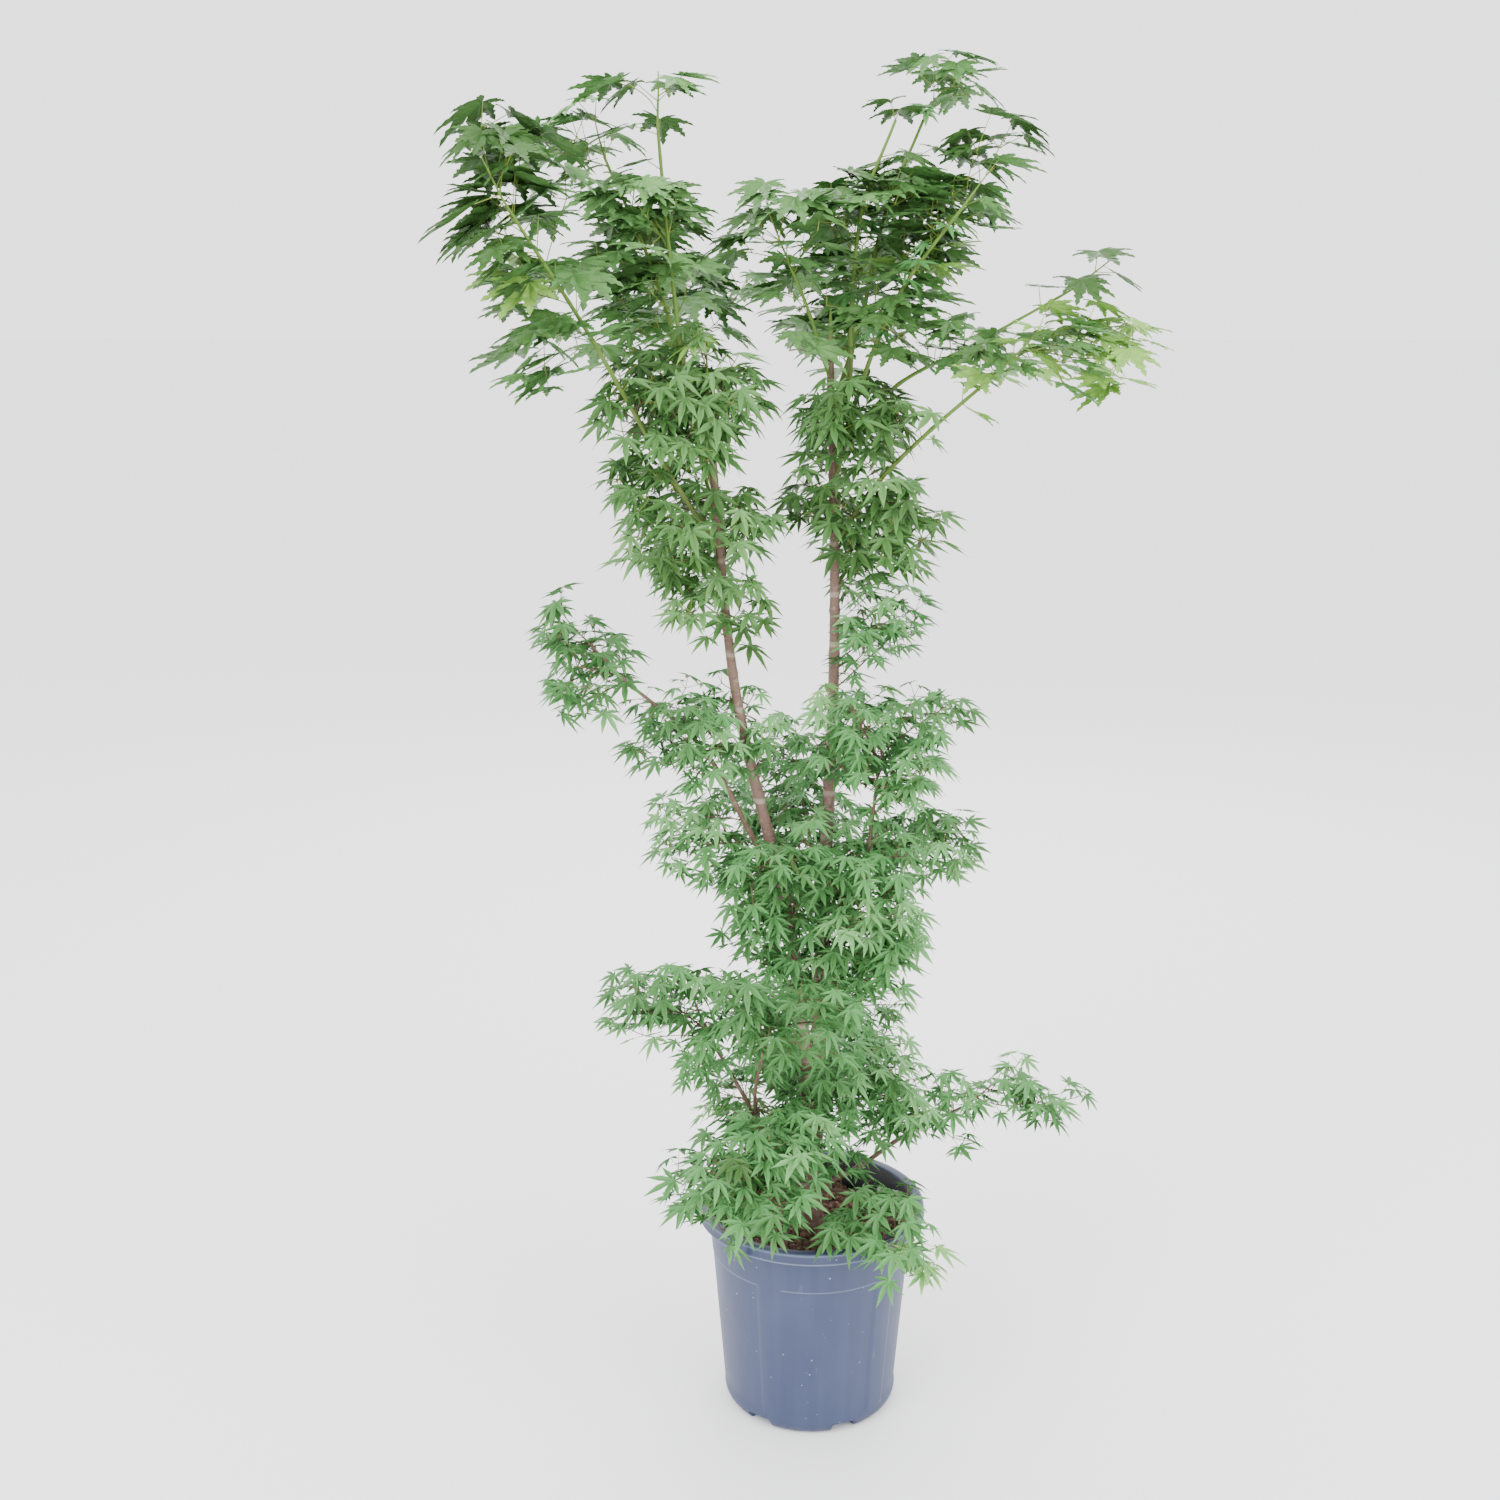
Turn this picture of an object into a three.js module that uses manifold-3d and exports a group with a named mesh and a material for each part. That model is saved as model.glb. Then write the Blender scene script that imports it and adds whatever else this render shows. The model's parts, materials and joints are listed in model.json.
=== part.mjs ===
// A potted Japanese maple: a young two-stemmed plant about 1.95 m tall in a 20 litre nursery pot.
// Millimetres, +Z up, the front towards -Y. The origin is the middle of the pot's flat underside.
import * as THREE from "three";
import { mergeVertices } from "three/addons/utils/BufferGeometryUtils.js";
import Module from "manifold-3d";

const wasm = await Module();
wasm.setup();

// ---------------------------------------------------------------- driving sizes
const GAP = 0.4; // clear space kept between neighbouring solids
const WELD = 1e-4; // corners closer than this are one corner

const POT = {
  height: 315,
  lipRadius: 169,
  lipDepth: 16,
  lipThickness: 3,
  wallTopRadius: 153.5, // outside of the wall, just under the lip
  wallFootRadius: 129.5, // outside of the wall, at the top of the rounded bottom corner
  footRadius: 113, // edge of the flat underside
  cornerRadius: 122, // a point on the way round the bottom corner
  cornerLow: 5, // and its height
  cornerHeight: 20,
  cornerRise: 2, // the corner inside is this much higher than outside
  lipRounding: 2,
  wall: 3.4,
  floor: 5,
  shoulderHeight: 17, // the floor thickens to this height behind the drainage notches
  shoulderRadius: 99,
  dishRadius: 86,
  leafClearance: 2, // foliage over the rim stays this clear of the pot
  sides: 36,
};

const NOTCH = {
  count: 6,
  firstAngle: -66, // degrees round from +X, so that one faces left of the front
  width: 44, // at the level that the cutter starts from
  topWidth: 36,
  height: 12.5,
  innerRadius: 104,
  startBelow: 2, // the cutter starts this far under the pot
  cutLength: 60,
};

const SOIL_TOP = 270;

// The trunk's middle line runs through these points, the last one its top.
const TRUNK = {
  line: [
    [0, 0, SOIL_TOP - 8],
    [-3, 1, SOIL_TOP + 25],
    [1, 2, SOIL_TOP + 62],
    [5, 0, SOIL_TOP + 98],
  ],
  footRadius: 17,
  topRadius: 16,
  flare: 11, // extra radius where the roots spread at the soil
  flareReach: 26, // height over which the flare dies away
  buttresses: 4,
  buttressDepth: 0.35, // share of the flare that comes and goes round the foot
  sides: 12,
  rings: 5,
};

const LIMB = {
  sides: 6,
  passageSides: 4,
  ringSpacing: 125,
  fewestRings: 3,
  clearance: 0.5,
  youngHeight: 1500, // a limb that ends above this is still green
};

// Each limb: its parent, the share of the way along the parent where it leaves, its tip, how far
// its line stands off straight at one third and at two thirds, and its radius at foot and tip.
const LIMBS = [
  ["left_stem", "trunk", 0.9, [-142, -80, 1478], [14, 10, 0], [-16, 0, 0], [11.5, 5]],
  ["right_stem", "trunk", 0.9, [16, 30, 1557], [6, -2, 0], [14, 4, 0], [13, 5]],
  ["left_tall_shoot", "left_stem", 0.93, [-206, -58, 1825], [-15, -8, 0], [-10, -5, 0], [4.6, 2.6]],
  ["left_arch_shoot", "left_stem", 0.89, [-275, -18, 1792], [12, -14, 0], [18, -15, 0], [4, 2.4]],
  ["left_reach_shoot", "left_stem", 0.84, [-342, -262, 1690], [-7, 20, 0], [0, 20, 0], [5, 2.8]],
  ["left_back_shoot", "left_stem", 0.87, [-198, 105, 1545], [0, 10, -8], [0, 6, -10], [4, 2.6]],
  ["right_tall_shoot", "right_stem", 0.87, [98, 18, 1852], [0, 0, 0], [-26, -8, 0], [5, 2.4]],
  ["right_top_shoot", "right_stem", 0.93, [138, 92, 1858], [0, 6, 0], [-12, 0, 0], [4.5, 2.4]],
  ["right_lean_shoot", "right_stem", 0.84, [188, -40, 1745], [-26, 14, 0], [-34, 12, 0], [5, 2.5]],
  ["right_low_bough", "right_stem", 0.78, [218, -72, 1520], [-18, 12, 0], [-15, 12, 0], [5, 2.8]],
  ["right_far_shoot", "right_stem", 0.86, [334, 98, 1630], [-10, 4, 50], [0, 10, 22], [4.5, 2.2]],
  ["right_back_shoot", "right_stem", 0.88, [48, 160, 1572], [0, 8, -10], [0, 8, -10], [4.5, 2.6]],
  ["inner_shoot", "right_stem", 0.96, [-28, 0, 1645], [0, 0, 8], [0, 0, 8], [3.6, 2.6]],
  ["left_arm", "left_stem", 0.38, [-252, -105, 1125], [22, 0, 0], [30, 0, 14], [6, 3]],
  ["left_mid_bough", "left_stem", 0.33, [-98, 18, 828], [0, 4, 0], [0, 4, 0], [5, 3]],
  ["right_outer_bough", "right_stem", 0.19, [128, 40, 826], [26, 8, -20], [30, 10, -4], [4.6, 2.6]],
  ["right_mid_bough", "right_stem", 0.27, [84, -56, 962], [0, 0, 0], [14, -6, 0], [4.6, 2.6]],
  ["back_mid_bough", "right_stem", 0.34, [-8, 112, 852], [0, 6, 0], [0, 6, 0], [5, 3]],
  ["base_left_bough", "trunk", 0.8, [-146, -78, 606], [-18, -12, 0], [-8, -8, 0], [6, 3]],
  ["base_left_fork", "base_left_bough", 0.5, [-62, -124, 634], [-6, -6, 0], [-4, -6, 0], [4, 2.5]],
  ["base_right_bough", "trunk", 0.6, [214, 50, 438], [0, 26, -16], [0, 20, -4], [6, 3]],
  ["front_right_bough", "trunk", 0.6, [90, -110, 352], [6, 0, 14], [0, 0, 12], [4.6, 2.8]],
  ["front_left_bough", "trunk", 0.72, [-52, -84, 386], [0, 0, 4], [0, 0, 4], [4, 2.8]],
  ["back_low_bough", "trunk", 0.75, [16, 104, 448], [0, 0, -6], [0, 0, -6], [5, 3]],
];

// Each foliage mass: centre, half sizes across, deep and high, lean to the right in degrees, and
// how finely its skin is faceted.
const MASSES = [
  ["left_tip_foliage", [-368, -262, 1748], [74, 86, 98], 12, 2],
  ["left_shoulder_foliage", [-335, -195, 1598], [84, 86, 78], 8, 1],
  ["left_crown_foliage", [-232, -45, 1684], [72, 100, 108], -6, 1],
  ["left_top_foliage", [-326, -5, 1826], [80, 64, 42], 12, 1],
  ["left_leader_foliage", [-208, -55, 1876], [98, 60, 56], 0, 1],
  ["left_column_foliage", [-160, -60, 1505], [104, 98, 88], 6, 1],
  ["left_mid_column_foliage", [-166, -62, 1330], [104, 98, 110], -14, 1],
  ["left_back_foliage", [-200, 165, 1615], [104, 88, 104], 0, 1],
  ["middle_crown_foliage", [-46, -5, 1690], [94, 84, 70], -8, 1],
  ["right_top_foliage", [150, 80, 1888], [60, 72, 72], 40, 1],
  ["right_shoulder_foliage", [236, 0, 1800], [78, 86, 90], 14, 2],
  ["right_crown_foliage", [92, 40, 1728], [104, 100, 92], 0, 1],
  ["right_middle_foliage", [90, 0, 1578], [128, 100, 72], -4, 1],
  ["right_spray_foliage", [302, -82, 1553], [122, 94, 58], -4, 2],
  ["right_far_foliage", [392, 105, 1664], [80, 40, 32], -24, 1],
  ["right_column_foliage", [40, 20, 1448], [102, 98, 72], 0, 1],
  ["right_mid_column_foliage", [60, 30, 1322], [108, 98, 90], 0, 1],
  ["right_back_foliage", [48, 215, 1625], [104, 88, 100], 0, 1],
  ["right_step_foliage", [88, 30, 1186], [68, 78, 80], 0, 1],
  ["left_arm_foliage", [-305, -110, 1168], [86, 84, 72], 14, 2],
  ["left_waist_foliage", [-158, -62, 1036], [106, 92, 84], 24, 1],
  ["left_low_waist_foliage", [-142, 20, 870], [102, 92, 98], 20, 1],
  ["right_waist_foliage", [84, -40, 1030], [130, 100, 94], -12, 1],
  ["right_low_waist_foliage", [126, 8, 862], [98, 86, 66], -10, 1],
  ["back_waist_foliage", [-22, 178, 890], [118, 92, 122], 0, 1],
  ["centre_foliage", [12, 0, 735], [140, 116, 104], 0, 1],
  ["front_drape_foliage", [-34, -168, 684], [114, 78, 70], 0, 1],
  ["left_base_foliage", [-190, -88, 646], [98, 82, 72], 16, 1],
  ["centre_base_foliage", [-14, -15, 488], [144, 102, 90], 0, 1],
  ["back_base_foliage", [26, 172, 505], [118, 80, 120], 0, 1],
  ["right_arm_foliage", [268, 46, 450], [164, 70, 50], -10, 2],
  ["rim_left_foliage", [-92, -150, 400], [116, 88, 80], 0, 1],
  ["rim_right_foliage", [118, -182, 330], [74, 62, 58], 14, 1],
];

const CLUMP = {
  clearance: 1.8, // clear of the limbs and of each other
  smallestDetail: 1.1, // slivers thinner than this are smoothed away
  squareness: 2.7, // 2 is a plain ball; more fills its box better
  bumps: 14,
  bumpHeight: 0.55,
  hollowShare: 0.4, // this share of the bumps go inwards
  bumpTightness: 6,
  firstSeed: 11,
  upperLeafHeight: 1250, // above this the leaves are those of the upper shoots
};

// A plain repeating rule for random numbers, so that the clumps are the same every time.
const RANDOM = { spread: 2654435761, factor: 1664525, shift: 1013904223, range: 2 ** 32 };

const COLOURS = {
  pot: 0x565f75,
  soil: 0x423b32,
  oldBark: 0x8a7268,
  twig: 0x7d6a5c,
  youngShoot: 0x87964f,
  upperLeaf: 0x5f8a4c,
  lowerLeaf: 0x6f9b66,
};

// ---------------------------------------------------------------- finishes
function finish(colour, roughness) {
  return new THREE.MeshStandardMaterial({ color: colour, roughness, metalness: 0 });
}

const potFinish = finish(COLOURS.pot, 0.5);
const soilFinish = finish(COLOURS.soil, 0.95);
const barkFinish = finish(COLOURS.oldBark, 0.8);
const twigFinish = finish(COLOURS.twig, 0.75);
const shootFinish = finish(COLOURS.youngShoot, 0.6);
const upperLeafFinish = finish(COLOURS.upperLeaf, 0.6);
const lowerLeafFinish = finish(COLOURS.lowerLeaf, 0.6);

// ---------------------------------------------------------------- solids
function toSolid(geometry) {
  const bare = geometry.clone();
  bare.deleteAttribute("normal");
  bare.deleteAttribute("uv");
  const merged = mergeVertices(bare, WELD);
  return new wasm.Manifold(new wasm.Mesh({
    numProp: 3,
    vertProperties: Float32Array.from(merged.attributes.position.array),
    triVerts: Uint32Array.from(merged.index.array),
  }));
}

function toGeometry(solid) {
  const mesh = solid.getMesh();
  const geometry = new THREE.BufferGeometry();
  geometry.setAttribute("position", new THREE.BufferAttribute(mesh.vertProperties, 3));
  geometry.setIndex(new THREE.BufferAttribute(mesh.triVerts, 1));
  const shaded = geometry.toNonIndexed();
  shaded.computeVertexNormals();
  return shaded;
}

function largestBody(solid) {
  return solid.decompose().reduce((best, body) => (body.volume() > best.volume() ? body : best));
}

function touches(a, b) {
  const boxA = a.boundingBox();
  const boxB = b.boundingBox();
  return [0, 1, 2].every((i) => boxA.min[i] <= boxB.max[i] && boxB.min[i] <= boxA.max[i]);
}

function cutRound(solid, obstacles) {
  let cut = solid;
  for (const obstacle of obstacles) {
    if (touches(cut, obstacle)) {
      cut = cut.subtract(obstacle);
    }
  }
  return largestBody(cut);
}

// A turned solid about +Z from a profile of radius and height that starts and ends on the axis.
function turned(profile) {
  const points = profile.map(([radius, z]) => new THREE.Vector2(radius, z));
  const geometry = new THREE.LatheGeometry(points, POT.sides);
  geometry.rotateX(Math.PI / 2);
  return toSolid(geometry);
}

// A tapering limb: rings of corners along a line, closed by a flat cap at each end. The last
// ring can be carried ahead past the end of the line.
function sweptLimb(line, rings, sides, radiusAt, ahead = 0) {
  const positions = [];
  const triangles = [];
  const frames = line.computeFrenetFrames(rings, false);
  for (let ring = 0; ring <= rings; ring += 1) {
    const share = ring / rings;
    const centre = line.getPointAt(share);
    if (ring === rings) {
      centre.addScaledVector(line.getTangentAt(1), ahead);
    }
    for (let side = 0; side < sides; side += 1) {
      const angle = (2 * Math.PI * side) / sides;
      const radius = radiusAt(share, angle);
      const corner = centre.clone();
      corner.addScaledVector(frames.normals[ring], radius * Math.cos(angle));
      corner.addScaledVector(frames.binormals[ring], radius * Math.sin(angle));
      positions.push(corner.x, corner.y, corner.z);
    }
  }
  for (let ring = 0; ring < rings; ring += 1) {
    for (let side = 0; side < sides; side += 1) {
      const next = (side + 1) % sides;
      const a = ring * sides + side;
      const b = ring * sides + next;
      triangles.push(a, b, b + sides, a, b + sides, a + sides);
    }
  }
  const last = rings * sides;
  for (let side = 1; side < sides - 1; side += 1) {
    triangles.push(0, side + 1, side);
    triangles.push(last, last + side, last + side + 1);
  }
  const geometry = new THREE.BufferGeometry();
  geometry.setAttribute("position", new THREE.BufferAttribute(Float32Array.from(positions), 3));
  geometry.setIndex(triangles);
  return toSolid(geometry);
}

// ---------------------------------------------------------------- pot and soil
function potSolid() {
  const lipFoot = POT.height - POT.lipDepth;
  const lipPlate = POT.height - POT.lipThickness;
  const lipInside = POT.lipRadius - POT.lipThickness;
  const shell = turned([
    [0, 0],
    [POT.footRadius, 0],
    [POT.cornerRadius, POT.cornerLow],
    [POT.wallFootRadius, POT.cornerHeight],
    [POT.wallTopRadius, lipPlate],
    [lipInside, lipPlate],
    [lipInside, lipFoot],
    [POT.lipRadius, lipFoot],
    [POT.lipRadius, lipPlate],
    [POT.lipRadius - POT.lipRounding, POT.height],
    [POT.wallTopRadius, POT.height],
    [POT.wallTopRadius - POT.wall, lipPlate],
    [POT.wallFootRadius - POT.wall, POT.cornerHeight + POT.cornerRise],
    [POT.shoulderRadius, POT.shoulderHeight],
    [POT.dishRadius, POT.floor],
    [0, POT.floor],
  ]);
  return notches().reduce((body, notch) => body.subtract(notch), shell);
}

// The drainage notches in the bottom edge, wider at the foot than at the top.
function notches() {
  const outline = new THREE.Shape([
    new THREE.Vector2(-NOTCH.width / 2, -NOTCH.startBelow),
    new THREE.Vector2(NOTCH.width / 2, -NOTCH.startBelow),
    new THREE.Vector2(NOTCH.topWidth / 2, NOTCH.height),
    new THREE.Vector2(-NOTCH.topWidth / 2, NOTCH.height),
  ]);
  const settings = { depth: NOTCH.cutLength, bevelEnabled: false };
  const cutters = [];
  for (let i = 0; i < NOTCH.count; i += 1) {
    const cutter = new THREE.ExtrudeGeometry(outline, settings);
    cutter.rotateX(Math.PI / 2);
    cutter.rotateZ(Math.PI);
    cutter.translate(0, NOTCH.innerRadius, 0);
    const turn = NOTCH.firstAngle - 90 + (360 * i) / NOTCH.count;
    cutter.rotateZ(THREE.MathUtils.degToRad(turn));
    cutters.push(toSolid(cutter));
  }
  return cutters;
}

function soilSolid() {
  const slope = (POT.wallTopRadius - POT.wallFootRadius)
    / (POT.height - POT.lipThickness - POT.cornerHeight);
  const rimRadius = POT.wallFootRadius + slope * (SOIL_TOP - POT.cornerHeight) - POT.wall;
  return turned([
    [0, POT.floor + GAP],
    [POT.dishRadius - GAP, POT.floor + GAP],
    [POT.shoulderRadius - GAP, POT.shoulderHeight + GAP],
    [POT.wallFootRadius - POT.wall - 2 * GAP, POT.cornerHeight + POT.cornerRise + GAP],
    [rimRadius - 2 * GAP, SOIL_TOP],
    [0, SOIL_TOP],
  ]);
}

// The room the pot takes up, for the foliage that hangs over its rim.
function potRoom() {
  const lipReach = POT.lipRadius + POT.leafClearance;
  const underLip = POT.height - POT.lipDepth - POT.leafClearance;
  const overLip = POT.height + POT.leafClearance;
  return turned([
    [0, 0],
    [POT.wallFootRadius + POT.leafClearance, 0],
    [POT.wallTopRadius + POT.leafClearance, underLip],
    [lipReach, underLip],
    [lipReach, overLip],
    [0, overLip],
  ]);
}

// ---------------------------------------------------------------- limbs
function trunkLine() {
  return new THREE.CatmullRomCurve3(TRUNK.line.map((point) => new THREE.Vector3(...point)));
}

function trunkSolid(extra) {
  const line = trunkLine();
  const length = line.getLength();
  const radiusAt = (share, angle) => {
    const spread = TRUNK.flare * Math.exp((-share * length) / TRUNK.flareReach);
    const taper = THREE.MathUtils.lerp(TRUNK.footRadius, TRUNK.topRadius, share);
    const buttress = 1 + TRUNK.buttressDepth * Math.cos(TRUNK.buttresses * angle);
    return taper + extra + spread * buttress;
  };
  const body = sweptLimb(line, TRUNK.rings, TRUNK.sides, radiusAt);
  return body.trimByPlane([0, 0, 1], SOIL_TOP + GAP - extra);
}

// A limb's middle line: a smooth curve from its parent that sways off straight on its way.
function limbLine(parentLine, share, tip, swayLow, swayHigh) {
  const foot = parentLine.getPointAt(share);
  const end = new THREE.Vector3(...tip);
  const low = foot.clone().lerp(end, 1 / 3).add(new THREE.Vector3(...swayLow));
  const high = foot.clone().lerp(end, 2 / 3).add(new THREE.Vector3(...swayHigh));
  return new THREE.CatmullRomCurve3([foot, low, high, end]);
}

function limbSolid(line, [footRadius, tipRadius], extra, sides = LIMB.sides) {
  const rings = Math.max(LIMB.fewestRings, Math.round(line.getLength() / LIMB.ringSpacing));
  const radiusAt = (share) => THREE.MathUtils.lerp(footRadius, tipRadius, share) + extra;
  return sweptLimb(line, rings, sides, radiusAt, extra);
}

// The room a limb needs inside the foliage: a square passage that holds the whole limb.
function limbPassage(line, radii) {
  const wider = radii.map((radius) => radius * Math.SQRT2);
  return limbSolid(line, wider, CLUMP.clearance, LIMB.passageSides);
}

// ---------------------------------------------------------------- foliage masses
function seededRandom(seed) {
  let state = (seed * RANDOM.spread) % RANDOM.range;
  return () => {
    state = (state * RANDOM.factor + RANDOM.shift) % RANDOM.range;
    return state / RANDOM.range;
  };
}

function randomDirection(random) {
  const z = 2 * random() - 1;
  const angle = 2 * Math.PI * random();
  const flat = Math.sqrt(1 - z * z);
  return new THREE.Vector3(flat * Math.cos(angle), flat * Math.sin(angle), z);
}

// An uneven closed clump: a faceted ball with its own seeded bumps and hollows, stretched to its
// half sizes, then leant over.
function clump(centre, half, lean, detail, seed) {
  const random = seededRandom(seed);
  const bumps = Array.from({ length: CLUMP.bumps }, () => ({
    towards: randomDirection(random),
    height: CLUMP.bumpHeight * (random() - CLUMP.hollowShare),
  }));
  const geometry = new THREE.IcosahedronGeometry(1, detail);
  geometry.rotateZ(random() * Math.PI);
  const position = geometry.attributes.position;
  const point = new THREE.Vector3();
  for (let i = 0; i < position.count; i += 1) {
    point.fromBufferAttribute(position, i).normalize();
    const powers = point.toArray().map((part) => Math.abs(part) ** CLUMP.squareness);
    const fill = powers.reduce((sum, power) => sum + power) ** (-1 / CLUMP.squareness);
    const swell = bumps.reduce((sum, bump) => {
      const facing = Math.max(0, point.dot(bump.towards));
      return sum + bump.height * facing ** CLUMP.bumpTightness;
    }, 1);
    point.multiplyScalar(fill * swell);
    position.setXYZ(i, point.x, point.y, point.z);
  }
  geometry.computeBoundingBox();
  const size = geometry.boundingBox.getSize(new THREE.Vector3());
  const middle = geometry.boundingBox.getCenter(new THREE.Vector3());
  geometry.translate(-middle.x, -middle.y, -middle.z);
  geometry.scale((2 * half[0]) / size.x, (2 * half[1]) / size.y, (2 * half[2]) / size.z);
  geometry.rotateY(THREE.MathUtils.degToRad(lean));
  geometry.translate(...centre);
  return toSolid(geometry);
}

function clumpRoom(centre, half, lean, detail, seed) {
  const wider = half.map((reach) => reach * (1 + CLUMP.clearance / Math.min(...half)));
  return clump(centre, wider, lean, detail, seed);
}

// ---------------------------------------------------------------- assembly
const group = new THREE.Group();

function place(name, solid, material) {
  const mesh = new THREE.Mesh(toGeometry(solid), material);
  mesh.name = name;
  group.add(mesh);
}

place("pot", potSolid(), potFinish);
place("soil", soilSolid(), soilFinish);

const lines = { trunk: trunkLine() };
const limbRooms = [trunkSolid(LIMB.clearance)];
const foliageRooms = [trunkSolid(CLUMP.clearance), potRoom()];
place("trunk", trunkSolid(0), barkFinish);

for (const [name, parent, share, tip, swayLow, swayHigh, radii] of LIMBS) {
  const line = limbLine(lines[parent], share, tip, swayLow, swayHigh);
  const solid = cutRound(limbSolid(line, radii, 0), limbRooms);
  const young = tip[2] > LIMB.youngHeight;
  const boughFinish = young ? shootFinish : twigFinish;
  place(name, solid, name.endsWith("stem") ? barkFinish : boughFinish);
  lines[name] = line;
  limbRooms.push(limbSolid(line, radii, LIMB.clearance));
  foliageRooms.push(limbPassage(line, radii));
}

MASSES.forEach(([name, centre, half, lean, detail], index) => {
  const seed = index + CLUMP.firstSeed;
  const cut = cutRound(clump(centre, half, lean, detail, seed), foliageRooms);
  const solid = cut.simplify(CLUMP.smallestDetail);
  const upper = centre[2] > CLUMP.upperLeafHeight;
  place(name, solid, upper ? upperLeafFinish : lowerLeafFinish);
  foliageRooms.push(clumpRoom(centre, half, lean, detail, seed));
});

export default group;
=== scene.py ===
"""The looks of a potted Japanese maple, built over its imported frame.

The trunk, stems and boughs are read back from the frame's limbs and rebuilt with bark. Every
foliage mass gives way to twigs and leaves that grow on from those limbs by a seeded rule and fill
the mass. The pot and its soil are rebuilt in detail on the frame's own sizes.
"""

import json
import logging
import math
import random
from collections import defaultdict
from dataclasses import dataclass, field
from enum import Enum
from typing import Callable, Iterable, Optional, Sequence, Union

import bmesh
import bpy
from mathutils import Euler, Matrix, Vector, kdtree, noise
from mathutils.bvhtree import BVHTree

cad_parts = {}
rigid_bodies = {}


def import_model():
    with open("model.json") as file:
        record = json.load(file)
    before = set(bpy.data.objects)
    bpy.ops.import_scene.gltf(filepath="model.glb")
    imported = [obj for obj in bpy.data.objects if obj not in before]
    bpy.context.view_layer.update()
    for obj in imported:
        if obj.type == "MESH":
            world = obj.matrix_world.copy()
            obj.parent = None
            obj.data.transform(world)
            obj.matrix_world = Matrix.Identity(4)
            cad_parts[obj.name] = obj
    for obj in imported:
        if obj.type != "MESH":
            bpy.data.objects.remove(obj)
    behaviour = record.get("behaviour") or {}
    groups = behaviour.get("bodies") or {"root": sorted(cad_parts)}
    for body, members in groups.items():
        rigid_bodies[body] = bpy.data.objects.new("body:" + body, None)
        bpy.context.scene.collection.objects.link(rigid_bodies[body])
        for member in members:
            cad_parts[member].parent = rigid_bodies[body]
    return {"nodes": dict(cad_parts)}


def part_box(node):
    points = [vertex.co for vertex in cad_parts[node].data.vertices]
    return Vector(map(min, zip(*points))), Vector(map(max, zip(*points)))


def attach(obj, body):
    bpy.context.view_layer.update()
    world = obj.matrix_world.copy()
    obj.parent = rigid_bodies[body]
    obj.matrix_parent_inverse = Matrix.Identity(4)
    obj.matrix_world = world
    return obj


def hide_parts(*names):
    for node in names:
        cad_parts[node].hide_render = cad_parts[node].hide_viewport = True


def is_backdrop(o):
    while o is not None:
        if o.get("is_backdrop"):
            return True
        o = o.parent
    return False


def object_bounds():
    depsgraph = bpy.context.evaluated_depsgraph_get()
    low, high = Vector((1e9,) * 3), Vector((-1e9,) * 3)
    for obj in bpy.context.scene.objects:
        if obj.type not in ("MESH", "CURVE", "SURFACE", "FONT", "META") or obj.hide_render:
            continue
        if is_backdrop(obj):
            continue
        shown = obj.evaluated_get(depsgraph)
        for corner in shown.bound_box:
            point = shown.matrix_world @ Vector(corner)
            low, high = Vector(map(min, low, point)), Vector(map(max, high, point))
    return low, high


LOG = logging.getLogger("maple")
BODY = "root"
UP = Vector((0.0, 0.0, 1.0))
Colour = tuple[float, float, float]


def linear(red: int, green: int, blue: int) -> Colour:
    """Turns a display colour into the linear colour that a shader takes.

    Args:
        red: Red, 0 to 255.
        green: Green, 0 to 255.
        blue: Blue, 0 to 255.

    Returns:
        The three linear channels, 0 to 1.
    """
    shares = (red / 255, green / 255, blue / 255)
    return tuple(c / 12.92 if c <= 0.04045 else ((c + 0.055) / 1.055) ** 2.4 for c in shares)


# ------------------------------------------------------------------ shader expressions
Value = Union["Expr", float]


class Expr:
    """A shader socket that can be used in Python arithmetic."""

    def __init__(self, paint: "Paint", socket: bpy.types.NodeSocket) -> None:
        """Wraps an output socket of a material that is being painted."""
        self.paint = paint
        self.socket = socket

    def _math(self, operation: str, first: Value, second: Value) -> "Expr":
        """Adds one Math node and returns its result."""
        node = self.paint.node("ShaderNodeMath", {"operation": operation}, {0: first, 1: second})
        return Expr(self.paint, node.outputs[0])

    def __add__(self, other: Value) -> "Expr":
        """Returns this plus another value."""
        return self._math("ADD", self, other)

    __radd__ = __add__

    def __sub__(self, other: Value) -> "Expr":
        """Returns this less another value."""
        return self._math("SUBTRACT", self, other)

    def __rsub__(self, other: Value) -> "Expr":
        """Returns another value less this."""
        return self._math("SUBTRACT", other, self)

    def __mul__(self, other: Value) -> "Expr":
        """Returns this times another value."""
        return self._math("MULTIPLY", self, other)

    __rmul__ = __mul__

    def __gt__(self, other: Value) -> "Expr":
        """Returns 1 where this is over another value, and 0 elsewhere."""
        return self._math("GREATER_THAN", self, other)

    def between(self, low: float, high: float) -> "Expr":
        """Returns a smooth 0 to 1 step as this goes from low to high."""
        settings = {"interpolation_type": "SMOOTHSTEP"}
        node = self.paint.node("ShaderNodeMapRange", settings, {0: self, 1: low, 2: high})
        return Expr(self.paint, node.outputs[0])


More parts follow.
